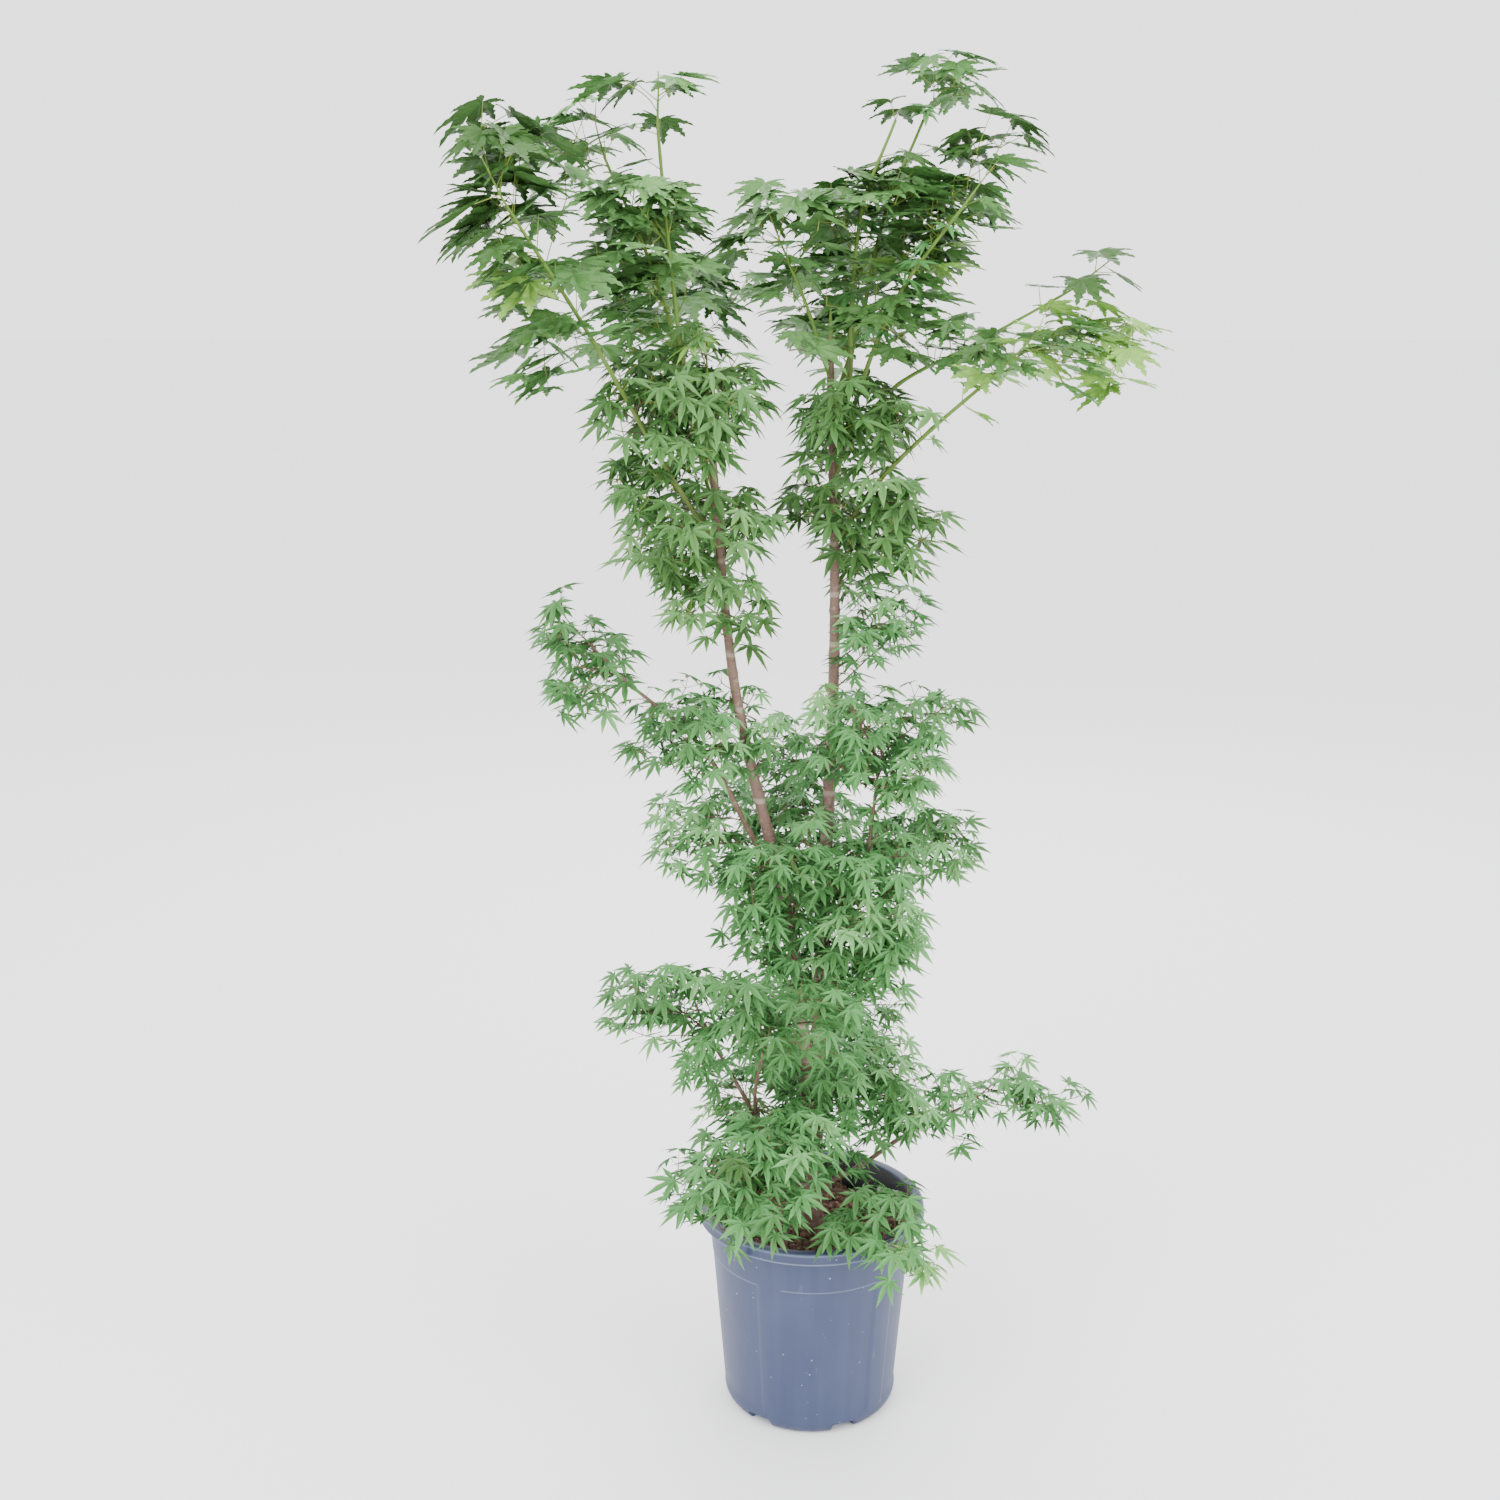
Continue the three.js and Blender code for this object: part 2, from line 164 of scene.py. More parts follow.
class Paint:
    """Builds one node material round a Principled shader."""

    def __init__(self, name: str) -> None:
        """Starts an empty material of that name."""
        self.material = bpy.data.materials.new(name)
        self.material.use_nodes = True
        self.tree = self.material.node_tree
        self.shader = self.tree.nodes["Principled BSDF"]

    def node(self, kind: str, settings: dict, inputs: dict) -> bpy.types.Node:
        """Adds any node.

        Args:
            kind: The node's type.
            settings: Its own properties, set first.
            inputs: Values or links for its sockets, by name or number.

        Returns:
            The new node.
        """
        made = self.tree.nodes.new(kind)
        for key, value in settings.items():
            setattr(made, key, value)
        for key, value in inputs.items():
            self._feed(made.inputs[key], value)
        return made

    def _feed(self, socket: bpy.types.NodeSocket, value: object) -> None:
        """Links an expression to a socket, or sets a plain value on it."""
        if isinstance(value, Expr):
            self.tree.links.new(value.socket, socket)
        elif isinstance(value, tuple) and socket.type == "RGBA":
            socket.default_value = (*value, 1.0)
        else:
            socket.default_value = value

    def place(self) -> Expr:
        """Returns the object coordinates."""
        return Expr(self, self.node("ShaderNodeTexCoord", {}, {}).outputs["Object"])

    def stretched(self, place: Expr, scale: tuple[float, float, float]) -> Expr:
        """Returns coordinates scaled by a different amount along each axis."""
        node = self.node("ShaderNodeMapping", {}, {"Vector": place, "Scale": scale})
        return Expr(self, node.outputs["Vector"])

    def attribute(self, name: str) -> Expr:
        """Returns a number kept on the mesh under that name."""
        node = self.node("ShaderNodeAttribute", {"attribute_name": name}, {})
        return Expr(self, node.outputs["Fac"])

    def noise(self, place: Expr, scale: float, detail: float = 2.0) -> Expr:
        """Returns cloudy noise from 0 to 1."""
        inputs = {"Vector": place, "Scale": scale, "Detail": detail}
        return Expr(self, self.node("ShaderNodeTexNoise", {}, inputs).outputs["Fac"])

    def cells(self, place: Expr, scale: float) -> Expr:
        """Returns the distance to the nearest of many scattered points."""
        inputs = {"Vector": place, "Scale": scale}
        return Expr(self, self.node("ShaderNodeTexVoronoi", {}, inputs).outputs["Distance"])

    def bands(self, place: Expr, spacing: float, wander: float) -> Expr:
        """Returns level bands that run from 0 to 1 and back, a spacing apart."""
        inputs = {"Vector": place, "Scale": math.pi / (10 * spacing), "Distortion": wander}
        wave = self.node("ShaderNodeTexWave", {"bands_direction": "Z"}, inputs)
        return Expr(self, wave.outputs["Fac"])

    def mix(self, share: Value, first: object, second: object) -> Expr:
        """Returns a colour between two others.

        Args:
            share: 0 for the first, 1 for the second.
            first: A colour or an expression.
            second: A colour or an expression.

        Returns:
            The mixed colour.
        """
        settings = {"data_type": "RGBA"}
        node = self.node("ShaderNodeMix", settings, {0: share, 6: first, 7: second})
        return Expr(self, node.outputs[2])

    def bump(self, height: Expr, depth: float, strength: float = 1.0) -> None:
        """Feeds the shader's normal from a height in units of depth metres."""
        inputs = {"Height": height, "Distance": depth, "Strength": strength}
        node = self.node("ShaderNodeBump", {}, inputs)
        self._feed(self.shader.inputs["Normal"], Expr(self, node.outputs["Normal"]))

    def finish(self, **inputs: object) -> bpy.types.Material:
        """Sets the shader's sockets, by name with underscores for spaces, and returns it all."""
        for key, value in inputs.items():
            self._feed(self.shader.inputs[key.replace("_", " ")], value)
        return self.material


# ------------------------------------------------------------------ finishes
@dataclass(frozen=True)
class LeafFinish:
    """A thin satin leaf or petiole of one plain green."""

    name: str
    colour: Colour
    roughness: float = 0.5
    sheen: float = 0.3

    def make(self) -> bpy.types.Material:
        """Returns the material."""
        paint = Paint(self.name)
        return paint.finish(
            Base_Color=self.colour, Roughness=self.roughness, Specular_IOR_Level=self.sheen
        )


@dataclass(frozen=True)
class BarkFinish:
    """Bark that goes from olive green on young wood to a ringed mauve brown on old wood."""

    young: Colour = linear(84, 116, 30)
    middle: Colour = linear(96, 74, 58)
    old: Colour = linear(122, 94, 84)
    dark: Colour = linear(66, 50, 44)
    pale: Colour = linear(178, 160, 146)
    scar_spacing: float = 0.07

    def make(self) -> bpy.types.Material:
        """Returns the material."""
        paint = Paint("maple_bark")
        place = paint.place()
        age = paint.attribute("age")
        rings = paint.noise(paint.stretched(place, (60, 60, 420)), 1.0, 3.0)
        blotches = paint.noise(place, 90.0, 3.0)
        specks = paint.cells(paint.stretched(place, (330, 330, 520)), 1.0)
        brown = paint.mix(age.between(0.45, 0.95), self.middle, self.old)
        wood = paint.mix(age.between(0.12, 0.5), self.young, brown)
        ringed = paint.mix(rings.between(0.55, 0.75) * age * 0.75, wood, self.dark)
        mottled = paint.mix(blotches.between(0.52, 0.75) * age * 0.5, ringed, self.pale)
        corky = (0.2 - specks).between(0.0, 0.1) * age.between(0.3, 0.7)
        scars = paint.bands(place, self.scar_spacing, 2.5).between(0.95, 1.0) * age.between(0.4, 0.8)
        colour = paint.mix(scars * 0.6, paint.mix(corky * 0.8, mottled, self.pale), self.pale)
        paint.bump(rings * 0.6 + blotches * 0.4 + corky * 0.4 + scars * 0.8, 0.0006, 0.8)
        return paint.finish(Base_Color=colour, Roughness=0.55 + 0.2 * blotches)


@dataclass(frozen=True)
class PotFinish:
    """Dusty blue-grey moulded plastic with mould streaks, pale specks and scuffs, a painted highlight
    on the lip and panel edges and painted shade inside.
    """

    body: Colour = linear(45, 55, 86)
    streak: Colour = linear(53, 64, 96)
    dust: Colour = linear(74, 85, 112)
    speck: Colour = linear(180, 186, 200)
    # Painted highlight colour for the lip's edges and the panels' top edges.
    worn: Colour = linear(132, 144, 172)
    # Painted shade colour for the inside wall and floor, near black.
    inside: Colour = linear(15, 17, 22)

    def make(self) -> bpy.types.Material:
        """Returns the material."""
        paint = Paint("pot_plastic")
        place = paint.place()
        streaks = paint.noise(paint.stretched(place, (46, 46, 1.2)), 1.0, 3.0)
        clouds = paint.noise(place, 9.0, 4.0)
        grain = paint.noise(place, 420.0, 2.0)
        specks = paint.cells(place, 58.0)
        patches = paint.noise(place, 26.0, 2.0)
        scuffs = paint.noise(paint.stretched(place, (70, 70, 14)), 1.0, 5.0)
        base = paint.mix(streaks.between(0.42, 0.66) * 0.4, self.body, self.streak)
        dusty = paint.mix(clouds.between(0.45, 0.85) * 0.22, base, self.dust)
        flecked = (0.075 - specks).between(0.0, 0.03) * patches.between(0.4, 0.65)
        scraped = scuffs.between(0.66, 0.74) * patches.between(0.4, 0.6) * 0.5
        outside = paint.mix(flecked * 0.85, paint.mix(scraped, dusty, self.dust), self.speck)
        # Painted highlight: a paler blue-grey along the lip's edges and the panels' top edges.
        highlighted = paint.mix(paint.attribute("worn") * 0.5, outside, self.worn)
        # Painted shade: the inside wall and floor are mixed to near black.
        colour = paint.mix(paint.attribute("inside"), highlighted, self.inside)
        paint.bump(grain * 0.5 + clouds * 0.5, 0.0004, 0.5)
        return paint.finish(Base_Color=colour, Roughness=0.38 + 0.22 * clouds + 0.2 * flecked)


@dataclass(frozen=True)
class CompostFinish:
    """Reddish-brown bark compost, darker where it is damp."""

    name: str
    dark: Colour = linear(48, 34, 27)
    light: Colour = linear(132, 100, 82)

    def make(self) -> bpy.types.Material:
        """Returns the material."""
        paint = Paint(self.name)
        place = paint.place()
        lumps = paint.noise(place, 95.0, 4.0)
        grain = paint.noise(place, 520.0, 3.0)
        colour = paint.mix(lumps.between(0.35, 0.72), self.dark, self.light)
        paint.bump(grain + lumps, 0.001, 0.9)
        return paint.finish(Base_Color=colour, Roughness=0.75 + 0.2 * grain)


@dataclass(frozen=True)
class FloorFinish:
    """A plain pale floor."""

    colour: Colour = (0.95, 0.95, 0.95)

    def make(self) -> bpy.types.Material:
        """Returns the material."""
        return Paint("pale_floor").finish(Base_Color=self.colour, Roughness=0.9)


# ------------------------------------------------------------------ geometry node tools
class GeometryTree:
    """Builds one Geometry Nodes tree and turns what it makes into a plain mesh piece."""

    def __init__(self, name: str, inputs: Sequence[tuple[str, str]]) -> None:
        """Starts a tree with a Geometry input, the named inputs and a Geometry output."""
        self.tree = bpy.data.node_groups.new(name, "GeometryNodeTree")
        face = self.tree.interface
        face.new_socket("Geometry", in_out="INPUT", socket_type="NodeSocketGeometry")
        self.ids = {
            title: face.new_socket(title, in_out="INPUT", socket_type=kind).identifier
            for title, kind in inputs
        }
        face.new_socket("Geometry", in_out="OUTPUT", socket_type="NodeSocketGeometry")
        self.entry = self.tree.nodes.new("NodeGroupInput")
        self.exit = self.tree.nodes.new("NodeGroupOutput")

    def node(self, kind: str, settings: dict, inputs: dict) -> bpy.types.Node:
        """Adds any node, with its settings, and values or links for its sockets."""
        made = self.tree.nodes.new(kind)
        for key, value in settings.items():
            setattr(made, key, value)
        for key, value in inputs.items():
            if isinstance(value, bpy.types.NodeSocket):
                self.tree.links.new(value, made.inputs[key])
            else:
                made.inputs[key].default_value = value
        return made

    def kept(self, name: str, kind: str) -> bpy.types.NodeSocket:
        """Returns a value that the points keep under that name."""
        return self.node(
            "GeometryNodeInputNamedAttribute", {"data_type": kind}, {"Name": name}
        ).outputs["Attribute"]

    def close(self, geometry: bpy.types.NodeSocket) -> None:
        """Ends the tree: instances made real, then the material."""
        real = self.node("GeometryNodeRealizeInstances", {}, {"Geometry": geometry})
        inputs = {"Geometry": real.outputs[0], "Material": self.entry.outputs["Material"]}
        dressed = self.node("GeometryNodeSetMaterial", {}, inputs)
        self.tree.links.new(dressed.outputs[0], self.exit.inputs[0])

    def apply(self, name: str, source: bpy.types.Mesh, values: dict) -> bpy.types.Object:
        """Runs the tree on a mesh.

        Args:
            name: The name of the piece that comes out.
            source: The mesh that goes in.
            values: A value for each of the tree's named inputs.

        Returns:
            A plain mesh object with no modifier.
        """
        carrier = bpy.data.objects.new(name + "_source", source)
        bpy.context.scene.collection.objects.link(carrier)
        modifier = carrier.modifiers.new("build", "NODES")
        modifier.node_group = self.tree
        for title, value in values.items():
            modifier[self.ids[title]] = value
        graph = bpy.context.evaluated_depsgraph_get()
        mesh = bpy.data.meshes.new_from_object(carrier.evaluated_get(graph))
        carrier.modifiers.remove(modifier)
        bpy.data.objects.remove(carrier)
        mesh.name = name
        piece = bpy.data.objects.new(name, mesh)
        bpy.context.scene.collection.objects.link(piece)
        return piece


class ScatterTree(GeometryTree):
    """Puts one of a collection's shapes on every point, turned and sized as the point says."""

    def __init__(self) -> None:
        """Builds the tree."""
        super().__init__(
            "scatter_shapes",
            [("Shapes", "NodeSocketCollection"), ("Material", "NodeSocketMaterial")],
        )
        info = self.node(
            "GeometryNodeCollectionInfo",
            {},
            {
                "Collection": self.entry.outputs["Shapes"],
                "Separate Children": True,
                "Reset Children": True,
            },
        )
        turn = self.node(
            "FunctionNodeEulerToRotation", {}, {"Euler": self.kept("turn", "FLOAT_VECTOR")}
        )
        placed = self.node(
            "GeometryNodeInstanceOnPoints",
            {},
            {
                "Points": self.entry.outputs["Geometry"],
                "Instance": info.outputs[0],
                "Pick Instance": True,
                "Instance Index": self.kept("shape", "INT"),
                "Rotation": turn.outputs[0],
                "Scale": self.kept("span", "FLOAT_VECTOR"),
            },
        )
        self.close(placed.outputs[0])


class TubeTree(GeometryTree):
    """Sweeps a round section along every line, as thick as its points say."""

    def __init__(self) -> None:
        """Builds the tree."""
        super().__init__(
            "sweep_twigs", [("Sides", "NodeSocketInt"), ("Material", "NodeSocketMaterial")]
        )
        line = self.node("GeometryNodeMeshToCurve", {}, {"Mesh": self.entry.outputs["Geometry"]})
        ring = self.node(
            "GeometryNodeCurvePrimitiveCircle",
            {},
            {"Resolution": self.entry.outputs["Sides"], "Radius": 1.0},
        )
        swept = self.node(
            "GeometryNodeCurveToMesh",
            {},
            {
                "Curve": line.outputs[0],
                "Profile Curve": ring.outputs[0],
                "Scale": self.kept("thickness", "FLOAT"),
                "Fill Caps": True,
            },
        )
        smooth = self.node("GeometryNodeSetShadeSmooth", {}, {"Geometry": swept.outputs[0]})
        self.close(smooth.outputs[0])


@dataclass
class Dots:
    """Points that a scatter tree dresses: where, how turned, how large and which shape."""

    places: list[Vector] = field(default_factory=list)
    turns: list[Vector] = field(default_factory=list)
    spans: list[Vector] = field(default_factory=list)
    shapes: list[int] = field(default_factory=list)

    def add(self, place: Vector, axes: Matrix, span: Vector, shape: int) -> None:
        """Adds one point."""
        self.places.append(place)
        self.turns.append(Vector(axes.to_euler("XYZ")))
        self.spans.append(span)
        self.shapes.append(shape)

    def mesh(self, name: str) -> bpy.types.Mesh:
        """Returns the points as a mesh that keeps its values as attributes."""
        made = bpy.data.meshes.new(name)
        made.from_pydata([tuple(p) for p in self.places], [], [])
        for title, values in (("turn", self.turns), ("span", self.spans)):
            kept = made.attributes.new(title, "FLOAT_VECTOR", "POINT")
            kept.data.foreach_set("vector", [c for v in values for c in v])
        made.attributes.new("shape", "INT", "POINT").data.foreach_set("value", self.shapes)
        return made


def dress(piece: bpy.types.Object, slot: str, *nodes: str) -> bpy.types.Object:
    """Makes a piece ride on the plant and hides the frame nodes it stands for."""
    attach(piece, BODY)
    if nodes:
        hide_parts(*nodes)
    LOG.info("%s: %d faces", piece.name, len(piece.data.polygons))
    return piece


# ------------------------------------------------------------------ limbs read from the frame
LIMB_PARENTS = {
    "trunk": None,
    "left_stem": "trunk",
    "right_stem": "trunk",
    "left_tall_shoot": "left_stem",
    "left_arch_shoot": "left_stem",
    "left_reach_shoot": "left_stem",
    "left_back_shoot": "left_stem",
    "right_tall_shoot": "right_stem",
    "right_top_shoot": "right_stem",
    "right_lean_shoot": "right_stem",
    "right_low_bough": "right_stem",
    "right_far_shoot": "right_stem",
    "right_back_shoot": "right_stem",
    "inner_shoot": "right_stem",
    "left_arm": "left_stem",
    "left_mid_bough": "left_stem",
    "right_outer_bough": "right_stem",
    "right_mid_bough": "right_stem",
    "back_mid_bough": "right_stem",
    "base_left_bough": "trunk",
    "base_left_fork": "base_left_bough",
    "base_right_bough": "trunk",
    "front_right_bough": "trunk",
    "front_left_bough": "trunk",
    "back_low_bough": "trunk",
}


@dataclass
class Limb:
    """One limb's middle line from foot to tip, with its radius at each point."""

    name: str
    line: list[Vector]
    radii: list[float]

    def nearest(self, place: Vector) -> Vector:
        """Returns the point of the middle line nearest to a place."""
        best = min(
            (closest_on(a, b, place) for a, b in zip(self.line, self.line[1:])),
            key=lambda point: (point - place).length_squared,
        )
        return best

    def smoothed(self, step: float) -> "Limb":
        """Returns the same limb on a smooth curve with a point about every step."""
        line: list[Vector] = []
        radii: list[float] = []
        ends = [2 * self.line[0] - self.line[1], *self.line, 2 * self.line[-1] - self.line[-2]]
        for i in range(len(self.line) - 1):
            before, start, end, after = ends[i : i + 4]
            count = max(1, round((end - start).length / step))
            for k in range(count):
                share = k / count
                line.append(catmull(before, start, end, after, share))
                radii.append(self.radii[i] + share * (self.radii[i + 1] - self.radii[i]))
        line.append(self.line[-1])
        radii.append(self.radii[-1])
        return Limb(self.name, line, radii)


def closest_on(start: Vector, end: Vector, place: Vector) -> Vector:
    """Returns the point of a straight stretch that is nearest to a place."""
    along = end - start
    share = (place - start).dot(along) / max(along.length_squared, 1e-12)
    return start + min(1.0, max(0.0, share)) * along


def catmull(a: Vector, b: Vector, c: Vector, d: Vector, t: float) -> Vector:
    """Returns the point at share t between b and c on a smooth curve through all four."""
    slope = c - a
    curve = 2 * a - 5 * b + 4 * c - d
    twist = 3 * (b - c) + d - a
    return 0.5 * (2 * b + t * slope + t * t * curve + t * t * t * twist)


@dataclass
class LimbReader:
    """Reads limbs back from their faceted solids, ring by ring from the tip cap."""

    cap_cosine: float = 0.985

    def read(self, node: bpy.types.Object, parent: Optional[Limb]) -> Limb:
        """Reads one limb.

        Args:
            node: The frame's mesh of the limb.
            parent: The limb it grows from, or None for the trunk.

        Returns:
            The limb's middle line and radii, carried back into its parent.
        """
        mesh = bmesh.new()
        mesh.from_mesh(node.data)
        bmesh.ops.remove_doubles(mesh, verts=mesh.verts, dist=1e-5)
        mesh.verts.index_update()
        mesh.normal_update()
        lowest = min(v.co.z for v in mesh.verts)
        base = self._base_of(mesh, parent, lowest)
        cap = self._tip_cap(mesh, base)
        rings = [sorted(ring, key=lambda v: v.index) for ring in self._rings(cap)]
        centres = [sum((v.co for v in ring), Vector()) / len(ring) for ring in rings]
        radii = [
            sum((v.co - centre).length for v in ring) / len(ring)
            for ring, centre in zip(rings, centres)
        ]
        end = max(mesh.verts, key=lambda v: (v.co - centres[0]).length_squared).co.copy()
        mesh.free()
        foot = parent.nearest(end) if parent else Vector((centres[-1].x, centres[-1].y, lowest))
        if (foot - centres[-1]).length > 1e-3:
            centres.append(foot)
            radii.append(radii[-1] * 1.04)
        return Limb(node.name, centres[::-1], radii[::-1])

    @staticmethod
    def _base_of(mesh: bmesh.types.BMesh, parent: Optional[Limb], lowest: float) -> Vector:
        """Returns a point at the foot end of a limb's mesh."""
        if parent is None:
            return Vector((0.0, 0.0, lowest))
        gap = lambda v: (parent.nearest(v.co) - v.co).length_squared
        return min(mesh.verts, key=gap).co.copy()

    def _tip_cap(self, mesh: bmesh.types.BMesh, base: Vector) -> set:
        """Returns the corners of the flat cap at the end away from the base."""
        far = max(mesh.verts, key=lambda v: (v.co - base).length_squared)
        outward = (far.co - base).normalized()
        first = max(far.link_faces, key=lambda f: f.normal.dot(outward))
        cap, waiting = {first}, [first]
        while waiting:
            for edge in waiting.pop().edges:
                for face in edge.link_faces:
                    if face not in cap and face.normal.dot(first.normal) > self.cap_cosine:
                        cap.add(face)
                        waiting.append(face)
        return {v for face in cap for v in face.verts}

    @staticmethod
    def _rings(cap: set) -> list:
        """Returns the whole rings of corners from the cap towards the foot."""
        rings, seen = [cap], set(cap)
        while True:
            around = {e.other_vert(v) for v in rings[-1] for e in v.link_edges} - seen
            if len(around) != len(cap):
                return rings
            rings.append(around)
            seen |= around


# ------------------------------------------------------------------ stems and boughs
@dataclass
class Wood:
    """The trunk, stems and boughs, rebuilt as bark-covered tubes on the frame's limbs."""

    ring_step: float = 0.006
    old_radius: float = 0.0075
    node_step: float = 0.062
    relief: float = 0.05
    limbs: dict[str, Limb] = field(default_factory=dict)

    def read(self, nodes: dict[str, bpy.types.Object]) -> None:
        """Reads every limb from the frame, parents first."""
        reader = LimbReader()
        for name, parent in LIMB_PARENTS.items():
            self.limbs[name] = reader.read(nodes[name], self.limbs.get(parent))

    def build(self, leaders: dict[str, Limb]) -> None:
        """Builds the bark pieces.

        Args:
            leaders: Each limb with its leading shoot carried on into the foliage.
        """
        bark = BarkFinish().make()
        groups = {
            "trunk_and_stems": ("old_bark", ["trunk", "left_stem", "right_stem"]),
            "upper_shoots": (
                "young_shoot",
                [n for n in leaders if n.endswith("_shoot") or n == "right_low_bough"],
            ),
        }
        taken = {n for _, names in groups.values() for n in names}
        groups["lower_boughs"] = ("twig_bark", [n for n in leaders if n not in taken])
        for title, (slot, names) in groups.items():
            mesh = bmesh.new()
            age = mesh.verts.layers.float.new("age")
            youngest = 0.5 if slot == "twig_bark" else 0.0
            for name in names:
                self._tube(mesh, age, self._slimmed(leaders[name]).smoothed(self.ring_step), youngest)
            data = bpy.data.meshes.new(title)
            bmesh.ops.recalc_face_normals(mesh, faces=mesh.faces)
            mesh.to_mesh(data)
            mesh.free()
            data.materials.append(bark)
            data.shade_smooth()
            piece = bpy.data.objects.new(title, data)
            bpy.context.scene.collection.objects.link(piece)
            dress(piece, slot, *names)

    def _slimmed(self, limb: Limb) -> Limb:
        """Returns a limb a little slimmer, as the frame's limbs have flat sides."""
        share = 0.78 if limb.radii[0] < 0.009 else 0.96
        return Limb(limb.name, limb.line, [radius * share for radius in limb.radii])

    def _tube(self, mesh: bmesh.types.BMesh, age: object, limb: Limb, youngest: float) -> None:
        """Adds one limb's tube, with swollen leaf nodes and fine relief, to a mesh."""
        sides = 14 if limb.radii[0] > 0.009 else 8
        seed = sum(map(ord, limb.name)) * 0.37
        across = limb.line[1] - limb.line[0]
        side = across.orthogonal().normalized()
        previous: list = []
        travelled = 0.0
        count = len(limb.line)
        for i, (centre, radius) in enumerate(zip(limb.line, limb.radii)):
            ahead = limb.line[min(i + 1, count - 1)] - limb.line[max(i - 1, 0)]
            ahead.normalize()
            side = (side - side.dot(ahead) * ahead).normalized()
            other = ahead.cross(side)
            travelled += (centre - limb.line[i - 1]).length if i else 0.0
            flare = self._flare(centre, limb.name)
            swell = 1 + 0.16 * math.exp(-((travelled % self.node_step - 0.03) / 0.004) ** 2)
            ring = []
            for k in range(sides):
                angle = 2 * math.pi * k / sides
                out = math.cos(angle) * side + math.sin(angle) * other
                rough = noise.noise(centre * 130 + out * 1.7 + Vector((seed, 0, 0)))
                ribs = flare * (1 + 0.35 * math.cos(4 * angle + seed))
                reach = radius * swell * (1 + self.relief * rough) + ribs
                corner = mesh.verts.new(centre + out * reach)
                corner[age] = min(1.0, max(youngest, (radius - 0.0016) / self.old_radius))
                ring.append(corner)
            if previous:
                for k in range(sides):
                    nearer = (previous[k], previous[(k + 1) % sides])
                    mesh.faces.new((*nearer, ring[(k + 1) % sides], ring[k]))
            else:
                mesh.faces.new(ring[::-1])
            previous = ring
        mesh.faces.new(previous)

    @staticmethod
    def _flare(centre: Vector, name: str) -> float:
        """Returns how far the root flare stands out at a point of the trunk."""
        if name != "trunk":
            return 0.0
        return 0.004 * math.exp(-(centre.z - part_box("trunk")[0].z) / 0.02)


# ------------------------------------------------------------------ foliage zones
class Zone(Enum):
    """The three kinds of growth on the plant."""

    SHOOT = "upper shoots with large leaves"
    COLUMN = "close leaves along the upper stems"
    LOWER = "fine twigs with small leaves"


@dataclass(frozen=True)
class Habit:
    """How one zone grows: room for each spray, leaf size, leaf spacing and leaf pose."""

    spacing: float
    inset: float
    ragged: float
    tier: float
    tier_share: float
    openness: float
    leaf: float
    leaf_spread: float
    internode: float
    petiole: float
    droop: tuple[float, float]
    roll: float
    first_shape: int
    shapes: int
    taper: float = 0.0


HABITS = {
    Zone.SHOOT: Habit(
        spacing=0.036,
        inset=0.006,
        ragged=0.03,
        tier=0.085,
        tier_share=0.62,
        openness=0.3,
        leaf=0.078,
        leaf_spread=0.24,
        internode=0.034,
        petiole=0.42,
        droop=(-0.1, 0.55),
        roll=0.28,
        first_shape=0,
        shapes=5,
    ),
    Zone.COLUMN: Habit(
        spacing=0.029,
        inset=0.008,
        ragged=0.045,
        tier=0.1,
        tier_share=1.0,
        openness=0.29,
        leaf=0.055,
        leaf_spread=0.22,
        internode=0.026,
        petiole=0.4,
        droop=(0.1, 0.9),
        roll=0.4,
        first_shape=5,
        shapes=4,
        taper=0.018,
    ),
    Zone.LOWER: Habit(
        spacing=0.027,
        inset=0.006,
        ragged=0.04,
        tier=0.075,
        tier_share=0.74,
        openness=0.3,
        leaf=0.045,
        leaf_spread=0.24,
        internode=0.024,
        petiole=0.42,
        droop=(0.05, 0.75),
        roll=0.35,
        first_shape=5,
        shapes=4,
    ),
}

COLUMN_MASSES = ("left_column", "left_mid_column", "right_column", "right_mid_column")
SHOOT_HEIGHT = 1.45
LEAF_SIZES = {
    "left_tip_foliage": 1.18,
    "left_shoulder_foliage": 1.1,
    "right_spray_foliage": 0.85,
    "rim_left_foliage": 1.2,
    "rim_right_foliage": 1.2,
    "front_drape_foliage": 1.08,
    "left_arm_foliage": 1.1,
}
OPENNESS = {
    "left_leader_foliage": 0.42,
    "left_tip_foliage": 0.4,
    "centre_base_foliage": 0.24,
    "left_top_foliage": 0.45,
    "right_top_foliage": 0.48,
    "right_far_foliage": 0.42,
    "right_shoulder_foliage": 0.4,
    "right_step_foliage": 0.25,
    "right_arm_foliage": 0.26,
    "left_low_waist_foliage": 0.42,
    "right_waist_foliage": 0.36,
    "right_low_waist_foliage": 0.36,
    "rim_right_foliage": 0.34,
    "left_arm_foliage": 0.42,
    "rim_left_foliage": 0.26,
}
DROOPS = {"left_tip_foliage": (-0.1, 0.75), "left_shoulder_foliage": (0.0, 0.7)}
REACHES = {
    "centre_foliage": (0.0, -0.04, 0.09),
    "left_mid_column_foliage": (0.005, -0.03, -0.055),
    "right_mid_column_foliage": (0.03, 0.0, -0.03),
    "right_step_foliage": (-0.03, -0.03, -0.02),
    "centre_base_foliage": (0.055, 0.03, -0.02),
    "rim_left_foliage": (0.01, 0.02, 0.04),
    "rim_right_foliage": (-0.035, 0.08, 0.045),
    "left_column_foliage": (-0.015, -0.04, -0.03),
}
TAPERS = {"rim_left_foliage": 0.02, "right_mid_column_foliage": 0.03}
HEADROOM = {"left_leader_foliage": 0.04, "right_top_foliage": 0.025}
BARE_TIPS = {"left_tall_shoot": 0.036}
FLUSHES = {"right_spray_foliage": 0.075}
